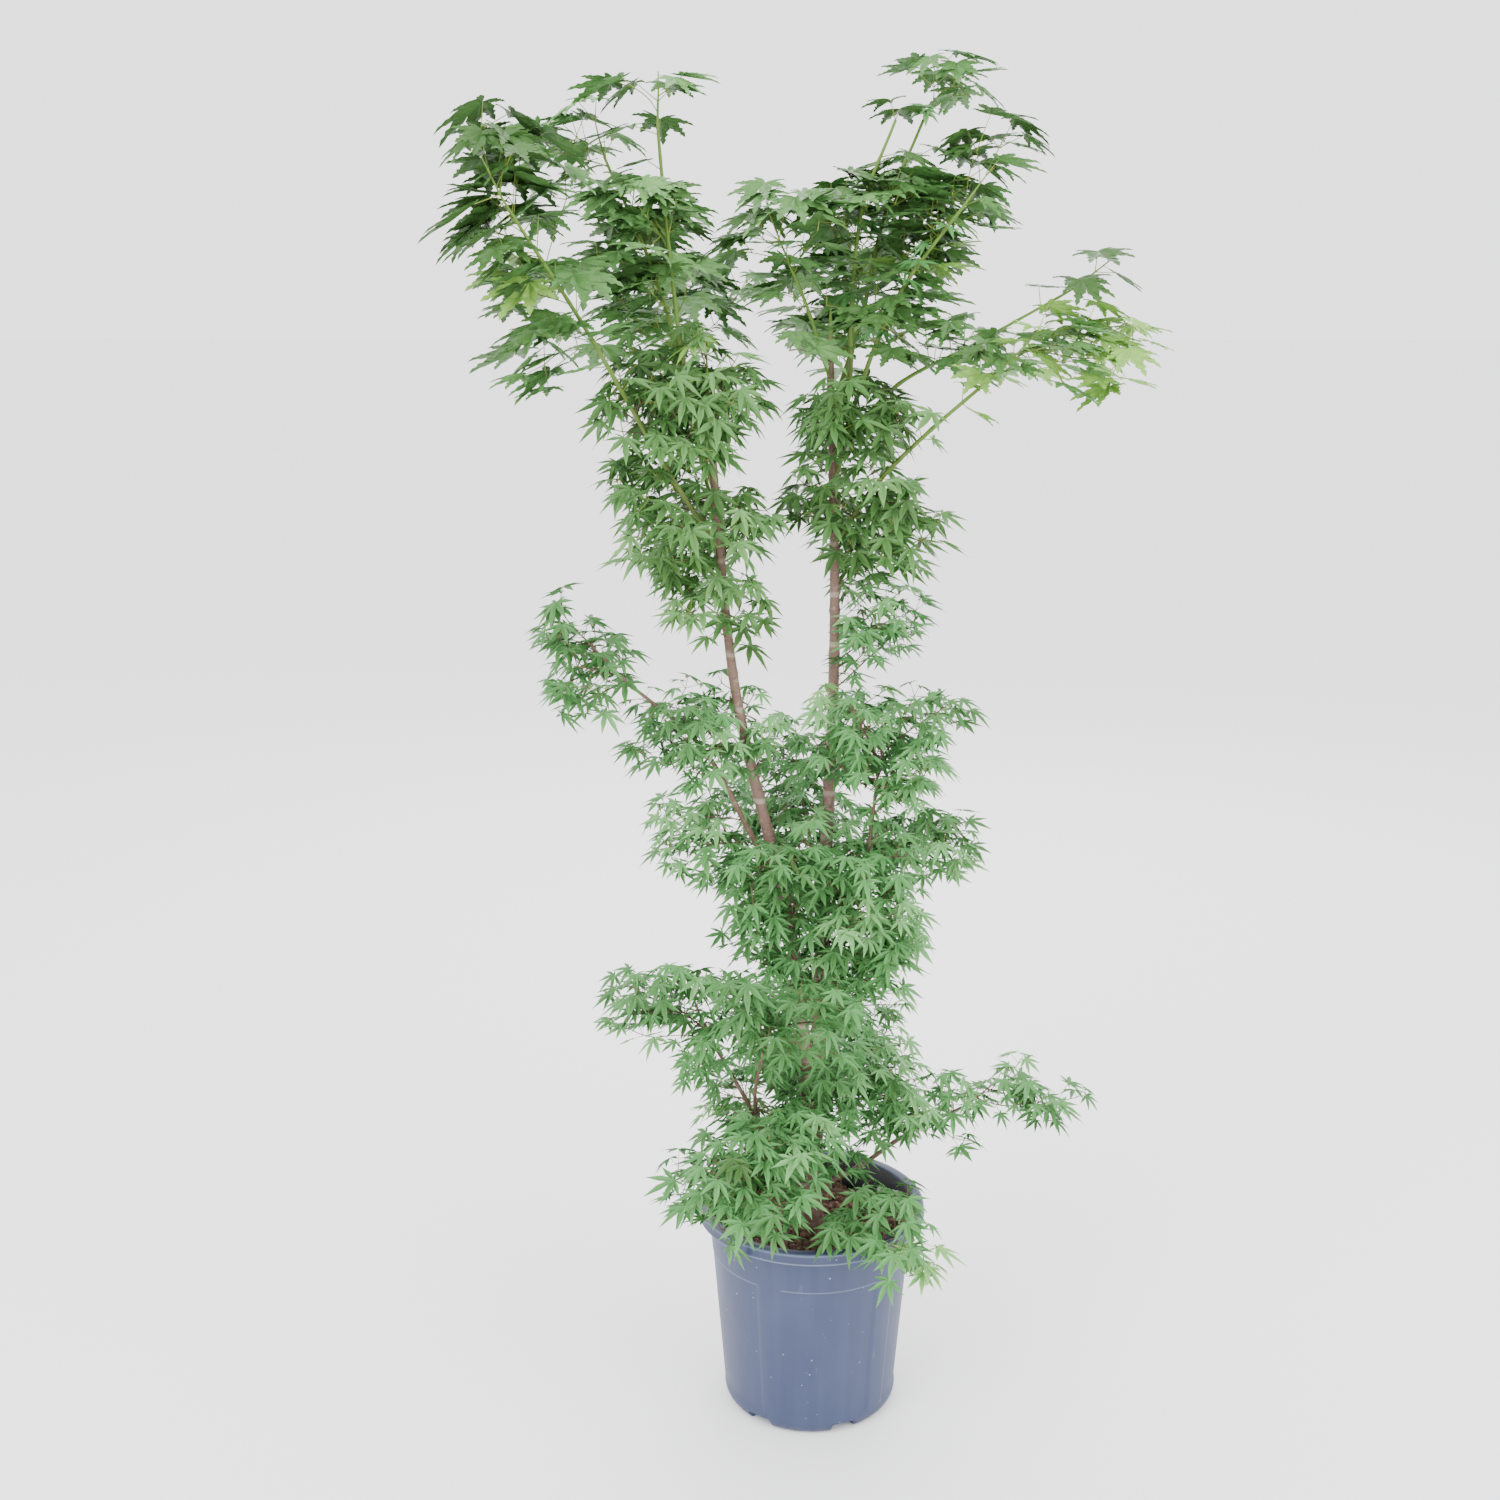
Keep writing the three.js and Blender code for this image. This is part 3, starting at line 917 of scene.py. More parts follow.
SHARES = {
    "left_tip_foliage": (0.92, 0.08, 0.0, 0.0),
    "left_shoulder_foliage": (0.55, 0.3, 0.12, 0.03),
    "left_arm_foliage": (0.6, 0.32, 0.08, 0.0),
    "right_spray_foliage": (0.15, 0.4, 0.3, 0.15),
}


@dataclass
class Mass:
    """One foliage mass of the frame: its volume, its zone and its own leaf size."""

    name: str
    surface: BVHTree
    low: Vector
    high: Vector
    zone: Zone

    @classmethod
    def read(cls, node: bpy.types.Object) -> "Mass":
        """Reads a mass from the frame."""
        mesh = bmesh.new()
        reach = Vector(REACHES.get(node.name, (0.0, 0.0, 0.0)))
        for vert in node.data.vertices:
            mesh.verts.new(vert.co)
            mesh.verts.new(vert.co + reach)
        hull = bmesh.ops.convex_hull(mesh, input=mesh.verts)
        spare = [item for item in hull["geom_interior"] if isinstance(item, bmesh.types.BMVert)]
        bmesh.ops.delete(mesh, geom=spare, context="VERTS")
        bmesh.ops.recalc_face_normals(mesh, faces=mesh.faces)
        surface = BVHTree.FromBMesh(mesh)
        mesh.free()
        low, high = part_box(node.name)
        low = Vector([low[i] + min(0.0, reach[i]) for i in range(3)])
        high = Vector([high[i] + max(0.0, reach[i]) for i in range(3)])
        stem = node.name.removesuffix("_foliage")
        if stem in COLUMN_MASSES:
            zone = Zone.COLUMN
        else:
            zone = Zone.SHOOT if (low.z + high.z) / 2 > SHOOT_HEIGHT else Zone.LOWER
        return cls(node.name, surface, low, high, zone)

    def depth(self, place: Vector) -> float:
        """Returns how deep a place lies inside the mass, negative outside."""
        point, normal, _, distance = self.surface.find_nearest(place)
        return distance if (place - point).dot(normal) < 0 else -distance

    @property
    def leaf(self) -> float:
        """Returns the width of its leaves."""
        return HABITS[self.zone].leaf * LEAF_SIZES.get(self.name, 1.0)

    def wanted(self, place: Vector) -> bool:
        """Returns whether foliage is wanted at a place: in tiers, ragged, open in patches."""
        habit = HABITS[self.zone]
        if place.z > self.high.z - HEADROOM.get(self.name, 0.0):
            return False
        bulge = habit.ragged * noise.noise(place * 13)
        depth = self.depth(place) + bulge
        sunk = (self.high.z - place.z) / (self.high.z - self.low.z)
        if depth < habit.inset + TAPERS.get(self.name, habit.taper) * sunk:
            return False
        tier = (place.z + 0.05 * noise.noise(place * 5)) / habit.tier
        if tier % 1.0 > habit.tier_share:
            return False
        edge = max(0.0, 1 - (depth - habit.inset) / 0.05)
        open_share = OPENNESS.get(self.name, habit.openness) + 0.12 * edge
        return 0.5 + 0.9 * noise.noise(place * 17 + UP * 7) > open_share

    def targets(self, rng: random.Random) -> list[Vector]:
        """Returns the places that its sprays grow towards."""
        step = HABITS[self.zone].spacing
        size = self.high - self.low
        found = []
        counts = [max(1, math.ceil(size[i] / step)) for i in range(3)]
        for ix in range(counts[0]):
            for iy in range(counts[1]):
                for iz in range(counts[2]):
                    cell = Vector((ix, iy, iz)) + Vector([rng.random() for _ in range(3)])
                    place = self.low + cell * step
                    if self.wanted(place):
                        found.append(place)
        return found


# ------------------------------------------------------------------ growth
@dataclass
class Bud:
    """One point of the growing plant."""

    place: Vector
    parent: int
    twig: bool
    children: list[int] = field(default_factory=list)
    load: int = 0


@dataclass
class Twig:
    """One grown twig: its line, its thickness and the zone it leafs in."""

    line: list[Vector]
    radii: list[float]
    mass: Mass
    spray: int
    chain: list[int]


@dataclass
class Growth:
    """Grows twigs from the limbs into the masses by a seeded space-filling rule."""

    seed: int = 41
    step: float = 0.013
    sight: float = 0.17
    rounds: int = 70
    lift: float = 0.14
    rise: float = 0.045
    keep_on: float = 0.55
    tip_radius: float = 0.00065
    spray_load: int = 3
    stray: float = 0.02
    most_outside: int = 2
    sturdy_load: int = 36
    buds: list[Bud] = field(default_factory=list)

    def leaders(self, limbs: dict[str, Limb], masses: list[Mass]) -> dict[str, Limb]:
        """Carries each limb on through the mass it ends in.

        Args:
            limbs: The limbs as the frame has them.
            masses: The foliage masses.

        Returns:
            The limbs with their leading shoots.
        """
        rng = random.Random(self.seed)
        grown = {}
        for name, limb in limbs.items():
            line, radii = list(limb.line), list(limb.radii)
            place = line[-1].copy()
            ahead = (line[-1] - line[-2]).normalized()
            home = max(masses, key=lambda mass: mass.depth(place + ahead * 0.02))
            inside = name not in ("trunk",) and home.depth(place + ahead * 0.02) > -0.01
            tip_radius = 0.0009
            reach: list[Vector] = []
            while inside and home.depth(place + ahead * 0.03) > 0.002 and len(reach) < 24:
                wander = Vector([rng.uniform(-1, 1) for _ in range(3)]) * 0.09
                ahead = (ahead + wander + self.lift * 0.5 * UP).normalized()
                place = place + ahead * 0.02
                reach.append(place.copy())
            start = radii[-1]
            for k, point in enumerate(reach):
                line.append(point)
                radii.append(start + (tip_radius - start) * (k + 1) / len(reach))
            grown[name] = Limb(name, line, radii)
        return grown

    def grow(self, leaders: dict[str, Limb], masses: list[Mass]) -> list[Twig]:
        """Grows every twig.

        Args:
            leaders: The limbs that twigs start from.
            masses: The masses that they fill.

        Returns:
            The twigs, each as one line from its parent to its tip.
        """
        rng = random.Random(self.seed + 1)
        targets = [(place, mass) for mass in masses for place in mass.targets(rng)]
        LOG.info("growing towards %d places", len(targets))
        for name, limb in leaders.items():
            if name != "trunk":
                self._add_limb(limb)
        homes: dict[int, Mass] = {}
        waiting = list(range(len(targets)))
        for _ in range(self.rounds):
            tree = kdtree.KDTree(len(self.buds))
            for index, bud in enumerate(self.buds):
                tree.insert(bud.place, index)
            tree.balance()
            pulls: dict[int, list[int]] = defaultdict(list)
            still = []
            for t in waiting:
                place, mass = targets[t]
                _, index, distance = tree.find(place)
                if distance < 0.5 * HABITS[mass.zone].spacing:
                    homes.setdefault(index, mass)
                    continue
                still.append(t)
                if distance < self.sight:
                    lower = tree.find(place - UP * min(self.rise, 0.6 * distance))
                    near = (lower[0] - place).length < 1.5 * distance
                    pulls[lower[1] if near else index].append(t)
            waiting = still
            if not pulls or not waiting:
                break
            for index, pulling in pulls.items():
                self._extend(index, [targets[t] for t in pulling], homes, rng)
        LOG.info("%d places out of reach", len(waiting))
        self._weigh()
        return self._twigs(homes, masses, rng)

    def _add_limb(self, limb: Limb) -> None:
        """Adds a limb's middle line as points that twigs can start from."""
        even = limb.smoothed(self.step)
        for place in even.line[2:]:
            self.buds.append(Bud(place, -1, False))

    def _extend(self, index: int, pulling: list, homes: dict, rng: random.Random) -> None:
        """Adds one step of growth at a bud towards the places that pull on it."""
        bud = self.buds[index]
        pull = sum(((place - bud.place).normalized() for place, _ in pulling), Vector())
        if pull.length < 1e-4:
            pull = (pulling[0][0] - bud.place).normalized()
        onward = Vector()
        if bud.parent >= 0:
            onward = (bud.place - self.buds[bud.parent].place).normalized()
        jitter = Vector([rng.uniform(-1, 1) for _ in range(3)]) * 0.12
        ahead = (pull.normalized() + self.keep_on * onward + self.lift * UP + jitter).normalized()
        place = bud.place + ahead * self.step
        for child in bud.children:
            if (self.buds[child].place - place).length < 0.45 * self.step:
                return
        self.buds.append(Bud(place, index, True))
        bud.children.append(len(self.buds) - 1)
        homes.setdefault(len(self.buds) - 1, pulling[0][1])

    def _weigh(self) -> None:
        """Counts how many tips each bud carries."""
        for index in range(len(self.buds) - 1, -1, -1):
            bud = self.buds[index]
            if not bud.twig:
                continue
            bud.load = max(1, sum(self.buds[c].load for c in bud.children))

    def _twigs(self, homes: dict, masses: list[Mass], rng: random.Random) -> list[Twig]:
        """Splits the grown buds into twigs, each following its heaviest child."""
        made: list[Twig] = []
        starts = [
            (parent, child, -1)
            for parent, bud in enumerate(self.buds)
            if not bud.twig
            for child in bud.children
        ]
        sprays = 0
        while starts:
            parent, child, spray = starts.pop()
            if spray < 0 or self.buds[child].load > self.spray_load:
                sprays += 1
                spray = sprays
            chain, forks = [parent, child], []
            while self.buds[chain[-1]].children:
                ranked = sorted(self.buds[chain[-1]].children, key=lambda c: -self.buds[c].load)
                forks += [(chain[-1], c, spray) for c in ranked[1:]]
                chain.append(ranked[0])
            places = [self.buds[i].place for i in chain]
            loads = [self.buds[i].load for i in chain[1:]]
            mass = homes.get(chain[-1]) or homes.get(chain[1]) or masses[0]
            outside = sum(mass.depth(place) < -self.stray for place in places)
            if outside > self.most_outside and self.buds[child].load < self.sturdy_load:
                continue
            starts += forks
            radii = [self.tip_radius * load**0.42 for load in [loads[0], *loads]]
            made.append(Twig(self._relaxed(places), radii, mass, spray, chain))
        return made

    @staticmethod
    def _relaxed(places: list[Vector]) -> list[Vector]:
        """Returns a line with its small kinks smoothed out and its ends kept."""
        line = [p.copy() for p in places]
        for _ in range(2):
            inner = [(a + 2 * b + c) / 4 for a, b, c in zip(line, line[1:], line[2:])]
            line = [line[0], *inner, line[-1]]
        return line


# ------------------------------------------------------------------ leaf shapes
@dataclass(frozen=True)
class Blade:
    """A palmate maple leaf, one unit wide, its petiole end at the origin and middle lobe to +Y."""

    lobes: Sequence[tuple[float, float]]
    sinus: float
    half_width: float
    widest: float
    teeth: int
    fold: float
    curl: float
    vee: float

    def mesh(self, name: str, seed: int) -> bpy.types.Mesh:
        """Builds the blade.

        Args:
            name: The mesh's name.
            seed: Which variation of the shape.

        Returns:
            The blade as a mesh of a few dozen faces.
        """
        rng = random.Random(seed)
        made = bmesh.new()
        centre = made.verts.new((0, 0, 0))
        arms = [
            (math.radians(angle + rng.uniform(-4, 4)), length * rng.uniform(0.93, 1.05))
            for angle, length in self.lobes
        ]
        hollows = [self._hollow(made, a, b) for a, b in zip(arms, arms[1:])]
        first = self._edge_foot(made, arms[0], -1)
        last = self._edge_foot(made, arms[-1], 1)
        feet = [first, *hollows, last]
        for arm, left, right in zip(arms, feet, feet[1:]):
            self._lobe(made, centre, arm, left, right)
        width = max(v.co.x for v in made.verts) - min(v.co.x for v in made.verts)
        curl = self.curl * rng.uniform(0.3, 1.3)
        vee = self.vee * rng.uniform(0.0, 1.2)
        for vert in made.verts:
            vert.co /= width
            vert.co.z += vee * abs(vert.co.x) - curl * (vert.co.x**2 + vert.co.y**2)
        bmesh.ops.recalc_face_normals(made, faces=made.faces)
        if sum(face.normal.z for face in made.faces) < 0:
            bmesh.ops.reverse_faces(made, faces=made.faces)
        data = bpy.data.meshes.new(name)
        made.to_mesh(data)
        made.free()
        return data

    @staticmethod
    def _at(angle: float, reach: float, aside: float, height: float) -> Vector:
        """Returns a point a reach along a lobe's midrib and so far aside of it."""
        ahead = Vector((math.sin(angle), math.cos(angle), 0))
        across = Vector((math.cos(angle), -math.sin(angle), 0))
        return ahead * reach + across * aside + UP * height

    def _hollow(self, made: bmesh.types.BMesh, first: tuple, second: tuple) -> object:
        """Adds the bottom of the notch between two lobes."""
        angle = (first[0] + second[0]) / 2
        reach = self.sinus * min(first[1], second[1])
        return made.verts.new(self._at(angle, reach, 0, self.fold * 0.5))

    def _edge_foot(self, made: bmesh.types.BMesh, arm: tuple, side: int) -> object:
        """Adds the outer foot of the first or last lobe."""
        aside = side * self.half_width * arm[1] * 0.7
        return made.verts.new(self._at(arm[0], self.sinus * arm[1] * 0.5, aside, 0))

    def _lobe(
        self, made: bmesh.types.BMesh, centre: object, arm: tuple, left: object, right: object
    ) -> None:
        """Adds one pointed lobe, folded along its midrib, with its teeth."""
        angle, length = arm
        stops = self._edge_stops()
        low = made.verts.new(self._at(angle, length * self.widest * 0.8, 0, -self.fold * length))
        high = made.verts.new(self._at(angle, length * 0.74, 0, -self.fold * length * 0.5))
        tip = made.verts.new(self._at(angle, length, 0, -self.fold * 0.6))
        for side, foot in ((-1, left), (1, right)):
            edge = [foot]
            for reach, aside in stops:
                spot = self._at(angle, length * reach, side * length * aside, 0)
                edge.append(made.verts.new(spot))
            edge.append(tip)
            self._half(made, centre, (low, high), edge, side)

    def _edge_stops(self) -> list[tuple[float, float]]:
        """Returns the edge's corners: the widest place, then a notch and a point for each tooth."""
        stops = [(self.widest, self.half_width)]
        for k in range(self.teeth):
            share = (k + 1) / (self.teeth + 1)
            reach = self.widest + (1 - self.widest) * share
            aside = self.half_width * (1 - share) ** 0.85
            stops.append((reach - 0.035, aside * 0.72))
            stops.append((reach + 0.035, aside * 1.12))
        return stops

    @staticmethod
    def _half(
        made: bmesh.types.BMesh, centre: object, rib: tuple, edge: list, side: int
    ) -> None:
        """Fills half a lobe between its midrib and its edge."""
        low, high = rib
        split = (len(edge) + 1) // 2
        corners = [[centre, low, edge[0]]]
        corners += [[low, b, a] for a, b in zip(edge[:split], edge[1:split])]
        corners.append([low, high, edge[split - 1]])
        corners += [[high, b, a] for a, b in zip(edge[split - 1 : -1], edge[split:])]
        for corner in corners:
            made.faces.new(corner if side > 0 else corner[::-1])


LARGE_BLADE = Blade(
    lobes=((-112, 0.46), (-72, 0.78), (-35, 0.96), (0, 1.06), (35, 0.96), (72, 0.78), (112, 0.46)),
    sinus=0.42,
    half_width=0.17,
    widest=0.52,
    teeth=2,
    fold=0.045,
    curl=0.26,
    vee=0.4,
)
SMALL_BLADE = Blade(
    lobes=((-122, 0.42), (-80, 0.76), (-39, 0.97), (0, 1.08), (39, 0.97), (80, 0.76), (122, 0.42)),
    sinus=0.3,
    half_width=0.112,
    widest=0.5,
    teeth=0,
    fold=0.05,
    curl=0.36,
    vee=0.12,
)


@dataclass
class LeafShapes:
    """The collections of blade and petiole shapes that the scatter tree picks from."""

    large: int = 5
    small: int = 4

    def blades(self) -> bpy.types.Collection:
        """Returns the blades: the large ones first, then the small ones."""
        shapes = bpy.data.collections.new("blade_shapes")
        for k in range(self.large + self.small):
            big = k < self.large
            name = f"blade_{k}"
            data = (LARGE_BLADE if big else SMALL_BLADE).mesh(name, 7 + k)
            shapes.objects.link(bpy.data.objects.new(name, data))
        return shapes

    def petioles(self) -> bpy.types.Collection:
        """Returns the petiole: a slim stalk one unit long towards +Y."""
        made = bmesh.new()
        rings = []
        for share, radius in ((0.0, 1.2), (0.5, 0.85), (1.0, 0.75)):
            arch = 0.0
            ring = []
            for k in range(3):
                angle = 2 * math.pi * k / 3
                spot = (radius * math.cos(angle), share, radius * math.sin(angle) + arch)
                ring.append(made.verts.new(spot))
            rings.append(ring)
        for a, b in zip(rings, rings[1:]):
            for k in range(3):
                made.faces.new((a[k], a[(k + 1) % 3], b[(k + 1) % 3], b[k]))
        made.faces.new(rings[0])
        made.faces.new(rings[-1][::-1])
        bmesh.ops.recalc_face_normals(made, faces=made.faces)
        data = bpy.data.meshes.new("petiole_shape")
        made.to_mesh(data)
        made.free()
        shapes = bpy.data.collections.new("petiole_shapes")
        shapes.objects.link(bpy.data.objects.new("petiole_shape", data))
        return shapes


# ------------------------------------------------------------------ foliage
@dataclass(frozen=True)
class Green:
    """One leaf colour and how often a spray has it."""

    title: str
    colour: Colour
    weight: float


UPPER_GREENS = (
    Green("deep", linear(64, 100, 48), 0.38),
    Green("mid", linear(82, 126, 66), 0.38),
    Green("light", linear(104, 150, 86), 0.22),
    Green("young", linear(126, 170, 78), 0.02),
)
LOWER_GREENS = (
    Green("deep", linear(70, 118, 62), 0.34),
    Green("mid", linear(82, 138, 76), 0.42),
    Green("light", linear(106, 160, 96), 0.22),
    Green("young", linear(124, 176, 100), 0.02),
)


@dataclass
class Foliage:
    """The twigs, petioles and leaf blades that fill the masses."""

    low: Vector
    high: Vector
    seed: int = 5
    allowance: float = 0.022
    stray: float = 0.034
    tries: tuple[float, ...] = (0.25, 0.6, 1.2)
    blades: dict[tuple[bool, str], Dots] = field(default_factory=lambda: defaultdict(Dots))
    petioles: dict[bool, Dots] = field(default_factory=lambda: defaultdict(Dots))

    def build(self, twigs: list[Twig], leaders: dict[str, Limb], masses: list[Mass]) -> None:
        """Builds every foliage piece.

        Args:
            twigs: The grown twigs.
            leaders: The limbs with their leading shoots, which carry leaves too.
            masses: The masses that the pieces stand for.
        """
        rng = random.Random(self.seed)
        leaves = [self._leaf_twig(twig, rng) for twig in twigs]
        twigs = self._living(twigs, leaves)
        self._leaf_leaders(leaders, masses, rng)
        self._build_twigs(twigs)
        scatter = ScatterTree()
        shapes = LeafShapes()
        blades, stalks = shapes.blades(), shapes.petioles()
        for upper, greens in ((True, UPPER_GREENS), (False, LOWER_GREENS)):
            where = "upper" if upper else "lower"
            nodes = [m.name for m in masses if (m.zone is not Zone.LOWER) == upper]
            for green in greens:
                name = f"{where}_leaves_{green.title}"
                material = LeafFinish(name, green.colour).make()
                dots = self.blades[upper, green.title].mesh(name)
                values = {"Shapes": blades, "Material": material}
                piece = scatter.apply(name, dots, values)
                dress(piece, f"{where}_leaf", *nodes)
                nodes = []
            stalk_colour = linear(112, 128, 50) if upper else linear(104, 84, 58)
            name = f"{where}_petioles"
            material = LeafFinish(name, stalk_colour, 0.45).make()
            values = {"Shapes": stalks, "Material": material}
            dress(scatter.apply(name, self.petioles[upper].mesh(name), values), f"{where}_leaf")

    def _green(self, mass: Mass, spray: int) -> str:
        """Returns the green that a whole spray has."""
        rng = random.Random(spray * 7919 + 3)
        greens = LOWER_GREENS if mass.zone is Zone.LOWER else UPPER_GREENS
        weights = SHARES.get(mass.name, [green.weight for green in greens])
        return rng.choices([green.title for green in greens], weights)[0]

    @staticmethod
    def _living(twigs: list[Twig], leaves: list[int]) -> list[Twig]:
        """Returns the twigs that bear leaves or bear a twig that does."""
        kept, forks = [], set()
        for twig, count in zip(reversed(twigs), reversed(leaves)):
            if count or forks.intersection(twig.chain[1:]):
                kept.append(twig)
                forks.add(twig.chain[0])
        return kept

    def _leaf_twig(self, twig: Twig, rng: random.Random) -> int:
        """Puts leaf pairs along a twig, from its tip to near its foot, and returns how many."""
        habit = HABITS[twig.mass.zone]
        lengths = [(b - a).length for a, b in zip(twig.line, twig.line[1:])]
        total = sum(lengths)
        back, leaves = 0.0, 0
        pair = rng.randrange(2)
        while back < total - min(0.6 * habit.internode, 0.4 * total):
            place, ahead = self._from_tip(twig.line, lengths, back)
            for side in (-1, 0, 1) if back == 0.0 else (-1, 1):
                leaves += self._leaf(place, ahead, side, pair, twig.mass, twig.spray, rng)
            pair += 1
            back += habit.internode * rng.uniform(0.8, 1.25)
        return leaves

    def _leaf_leaders(
        self, leaders: dict[str, Limb], masses: list[Mass], rng: random.Random
    ) -> None:
        """Puts leaf pairs straight on the leading shoots, where they run through foliage."""
        for spray, (name, limb) in enumerate(leaders.items(), start=9000):
            if name == "trunk" or name.endswith("stem"):
                continue
            lengths = [(b - a).length for a, b in zip(limb.line, limb.line[1:])]
            back, pair = BARE_TIPS.get(name, 0.0), 0
            while back < sum(lengths) * 0.6:
                place, ahead = self._from_tip(limb.line, lengths, back)
                home = max(masses, key=lambda mass: mass.depth(place))
                if home.depth(place) > -self.stray:
                    for side in (-1, 0, 1) if back == 0.0 else (-1, 1):
                        self._leaf(place, ahead, side, pair, home, spray, rng)
                pair += 1
                back += HABITS[home.zone].internode * rng.uniform(1.1, 1.5)

    @staticmethod
    def _from_tip(
        line: list[Vector], lengths: list[float], back: float
    ) -> tuple[Vector, Vector]:
        """Returns the place and direction on a line, so far back from its tip."""
        left = back
        for i in range(len(lengths) - 1, -1, -1):
            if left <= lengths[i] or i == 0:
                share = min(1.0, left / max(lengths[i], 1e-9))
                ahead = (line[i + 1] - line[i]).normalized()
                return line[i + 1].lerp(line[i], share), ahead
            left -= lengths[i]
        return line[0].copy(), (line[1] - line[0]).normalized()

    def _leaf(
        self,
        place: Vector,
        ahead: Vector,
        side: int,
        pair: int,
        mass: Mass,
        spray: int,
        rng: random.Random,
    ) -> bool:
        """Adds one leaf: a stalk out of the twig and a blade that hangs from its end.

        Args:
            place: Where it leaves the twig.
            ahead: The twig's direction there.
            side: -1 or 1 for the two leaves of a pair, 0 for the one at the very tip.
            pair: The pair's number, as each is turned a quarter from the last.
            mass: The mass that it grows in.
            spray: The spray that it belongs to.
            rng: The random source.

        Returns:
            Whether there was room for it.
        """
        habit = HABITS[mass.zone]
        upper = mass.zone is not Zone.LOWER
        level = ahead.cross(UP)
        level = level.normalized() if level.length > 0.15 else Vector((1, 0, 0))
        aside = level if pair % 2 == 0 else level.cross(ahead).normalized()
        width = mass.leaf * rng.uniform(1 - habit.leaf_spread, 1 + habit.leaf_spread)
        stalk = width * habit.petiole * rng.uniform(0.7, 1.3)
        for loose in self.tries:
            out = ahead * rng.uniform(0.35, 0.7) + aside * side * 0.85 + UP * 0.2
            out = (out + loose * Vector([rng.uniform(-1, 1) for _ in range(3)])).normalized()
            end = place + out * stalk
            forward = self._forward(out, mass, rng)
            tilt = UP + Vector([rng.uniform(-1, 1) for _ in range(3)]) * habit.roll
            across = forward.cross(tilt).normalized()
            tip = end + forward * width * 0.6
            corners = [tip, tip + across * width * 0.5, tip - across * width * 0.5]
            if self._allowed(tip, mass) and all(map(self._in_size, corners)):
                break
        else:
            return False
        face = across.cross(forward).normalized()
        axes = Matrix((across, forward, face)).transposed()
        shape = habit.first_shape + rng.randrange(habit.shapes)
        span = Vector((width, width, width))
        fresh = mass.high.x - end.x < FLUSHES.get(mass.name, -1.0)
        title = "young" if fresh else self._green(mass, spray)
        self.blades[upper, title].add(end, axes, span, shape)
        crossways = out.cross(UP)
        crossways = crossways.normalized() if crossways.length > 0.1 else Vector((1, 0, 0))
        axes = Matrix((crossways, out, crossways.cross(out))).transposed()
        thick = 0.0007 if upper else 0.0005
        self.petioles[upper].add(place, axes, Vector((thick, stalk, thick)), 0)
        return True

    @staticmethod
    def _forward(out: Vector, mass: Mass, rng: random.Random) -> Vector:
        """Returns which way a blade points: outward with its stalk and drooping."""
        flat = Vector((out.x, out.y, 0))
        if flat.length < 0.2:
            angle = rng.uniform(0, 2 * math.pi)
            flat = Vector((math.cos(angle), math.sin(angle), 0))
        droop = rng.uniform(*DROOPS.get(mass.name, HABITS[mass.zone].droop))
        return (flat.normalized() - UP * droop).normalized()

    def _allowed(self, tip: Vector, mass: Mass) -> bool:
        """Returns whether a leaf tip is above the ground and near its own mass."""
        return tip.z > 0.02 and mass.depth(tip) > -self.stray

    def _in_size(self, corner: Vector) -> bool:
        """Returns whether a corner of a leaf keeps to the plant's size."""
        return all(
            low - self.allowance < place < high + self.allowance
            for low, high, place in zip(self.low, self.high, corner)
        )

    @staticmethod
    def _build_twigs(twigs: list[Twig]) -> None:
        """Builds the twigs as swept lines, those of the upper shoots apart from the rest."""
        tubes = TubeTree()
        finishes = {
            True: LeafFinish("green_twigs", linear(84, 108, 38), 0.5),
            False: LeafFinish("brown_twigs", linear(88, 62, 52), 0.6),
        }
        for upper, finish in finishes.items():
            chosen = [t for t in twigs if (t.mass.zone is Zone.SHOOT) == upper]
            places = [p for t in chosen for p in t.line]
            radii = [r for t in chosen for r in t.radii]
            edges = []
            start = 0
            for twig in chosen:
                edges += [(start + k, start + k + 1) for k in range(len(twig.line) - 1)]
                start += len(twig.line)
            data = bpy.data.meshes.new(finish.name)
            data.from_pydata([tuple(p) for p in places], edges, [])
            data.attributes.new("thickness", "FLOAT", "POINT").data.foreach_set("value", radii)
            values = {"Sides": 5, "Material": finish.make()}
            piece = tubes.apply(finish.name, data, values)
            dress(piece, "young_shoot" if upper else "twig_bark")


# ------------------------------------------------------------------ pot and soil
@dataclass(frozen=True)
class Ring:
    """One ring of the pot's section, and how far it gets painted shade on the inside or a painted
    highlight on an edge.
    """

    radius: float
    height: float
    inside: float = 0.0
    worn: float = 0.0


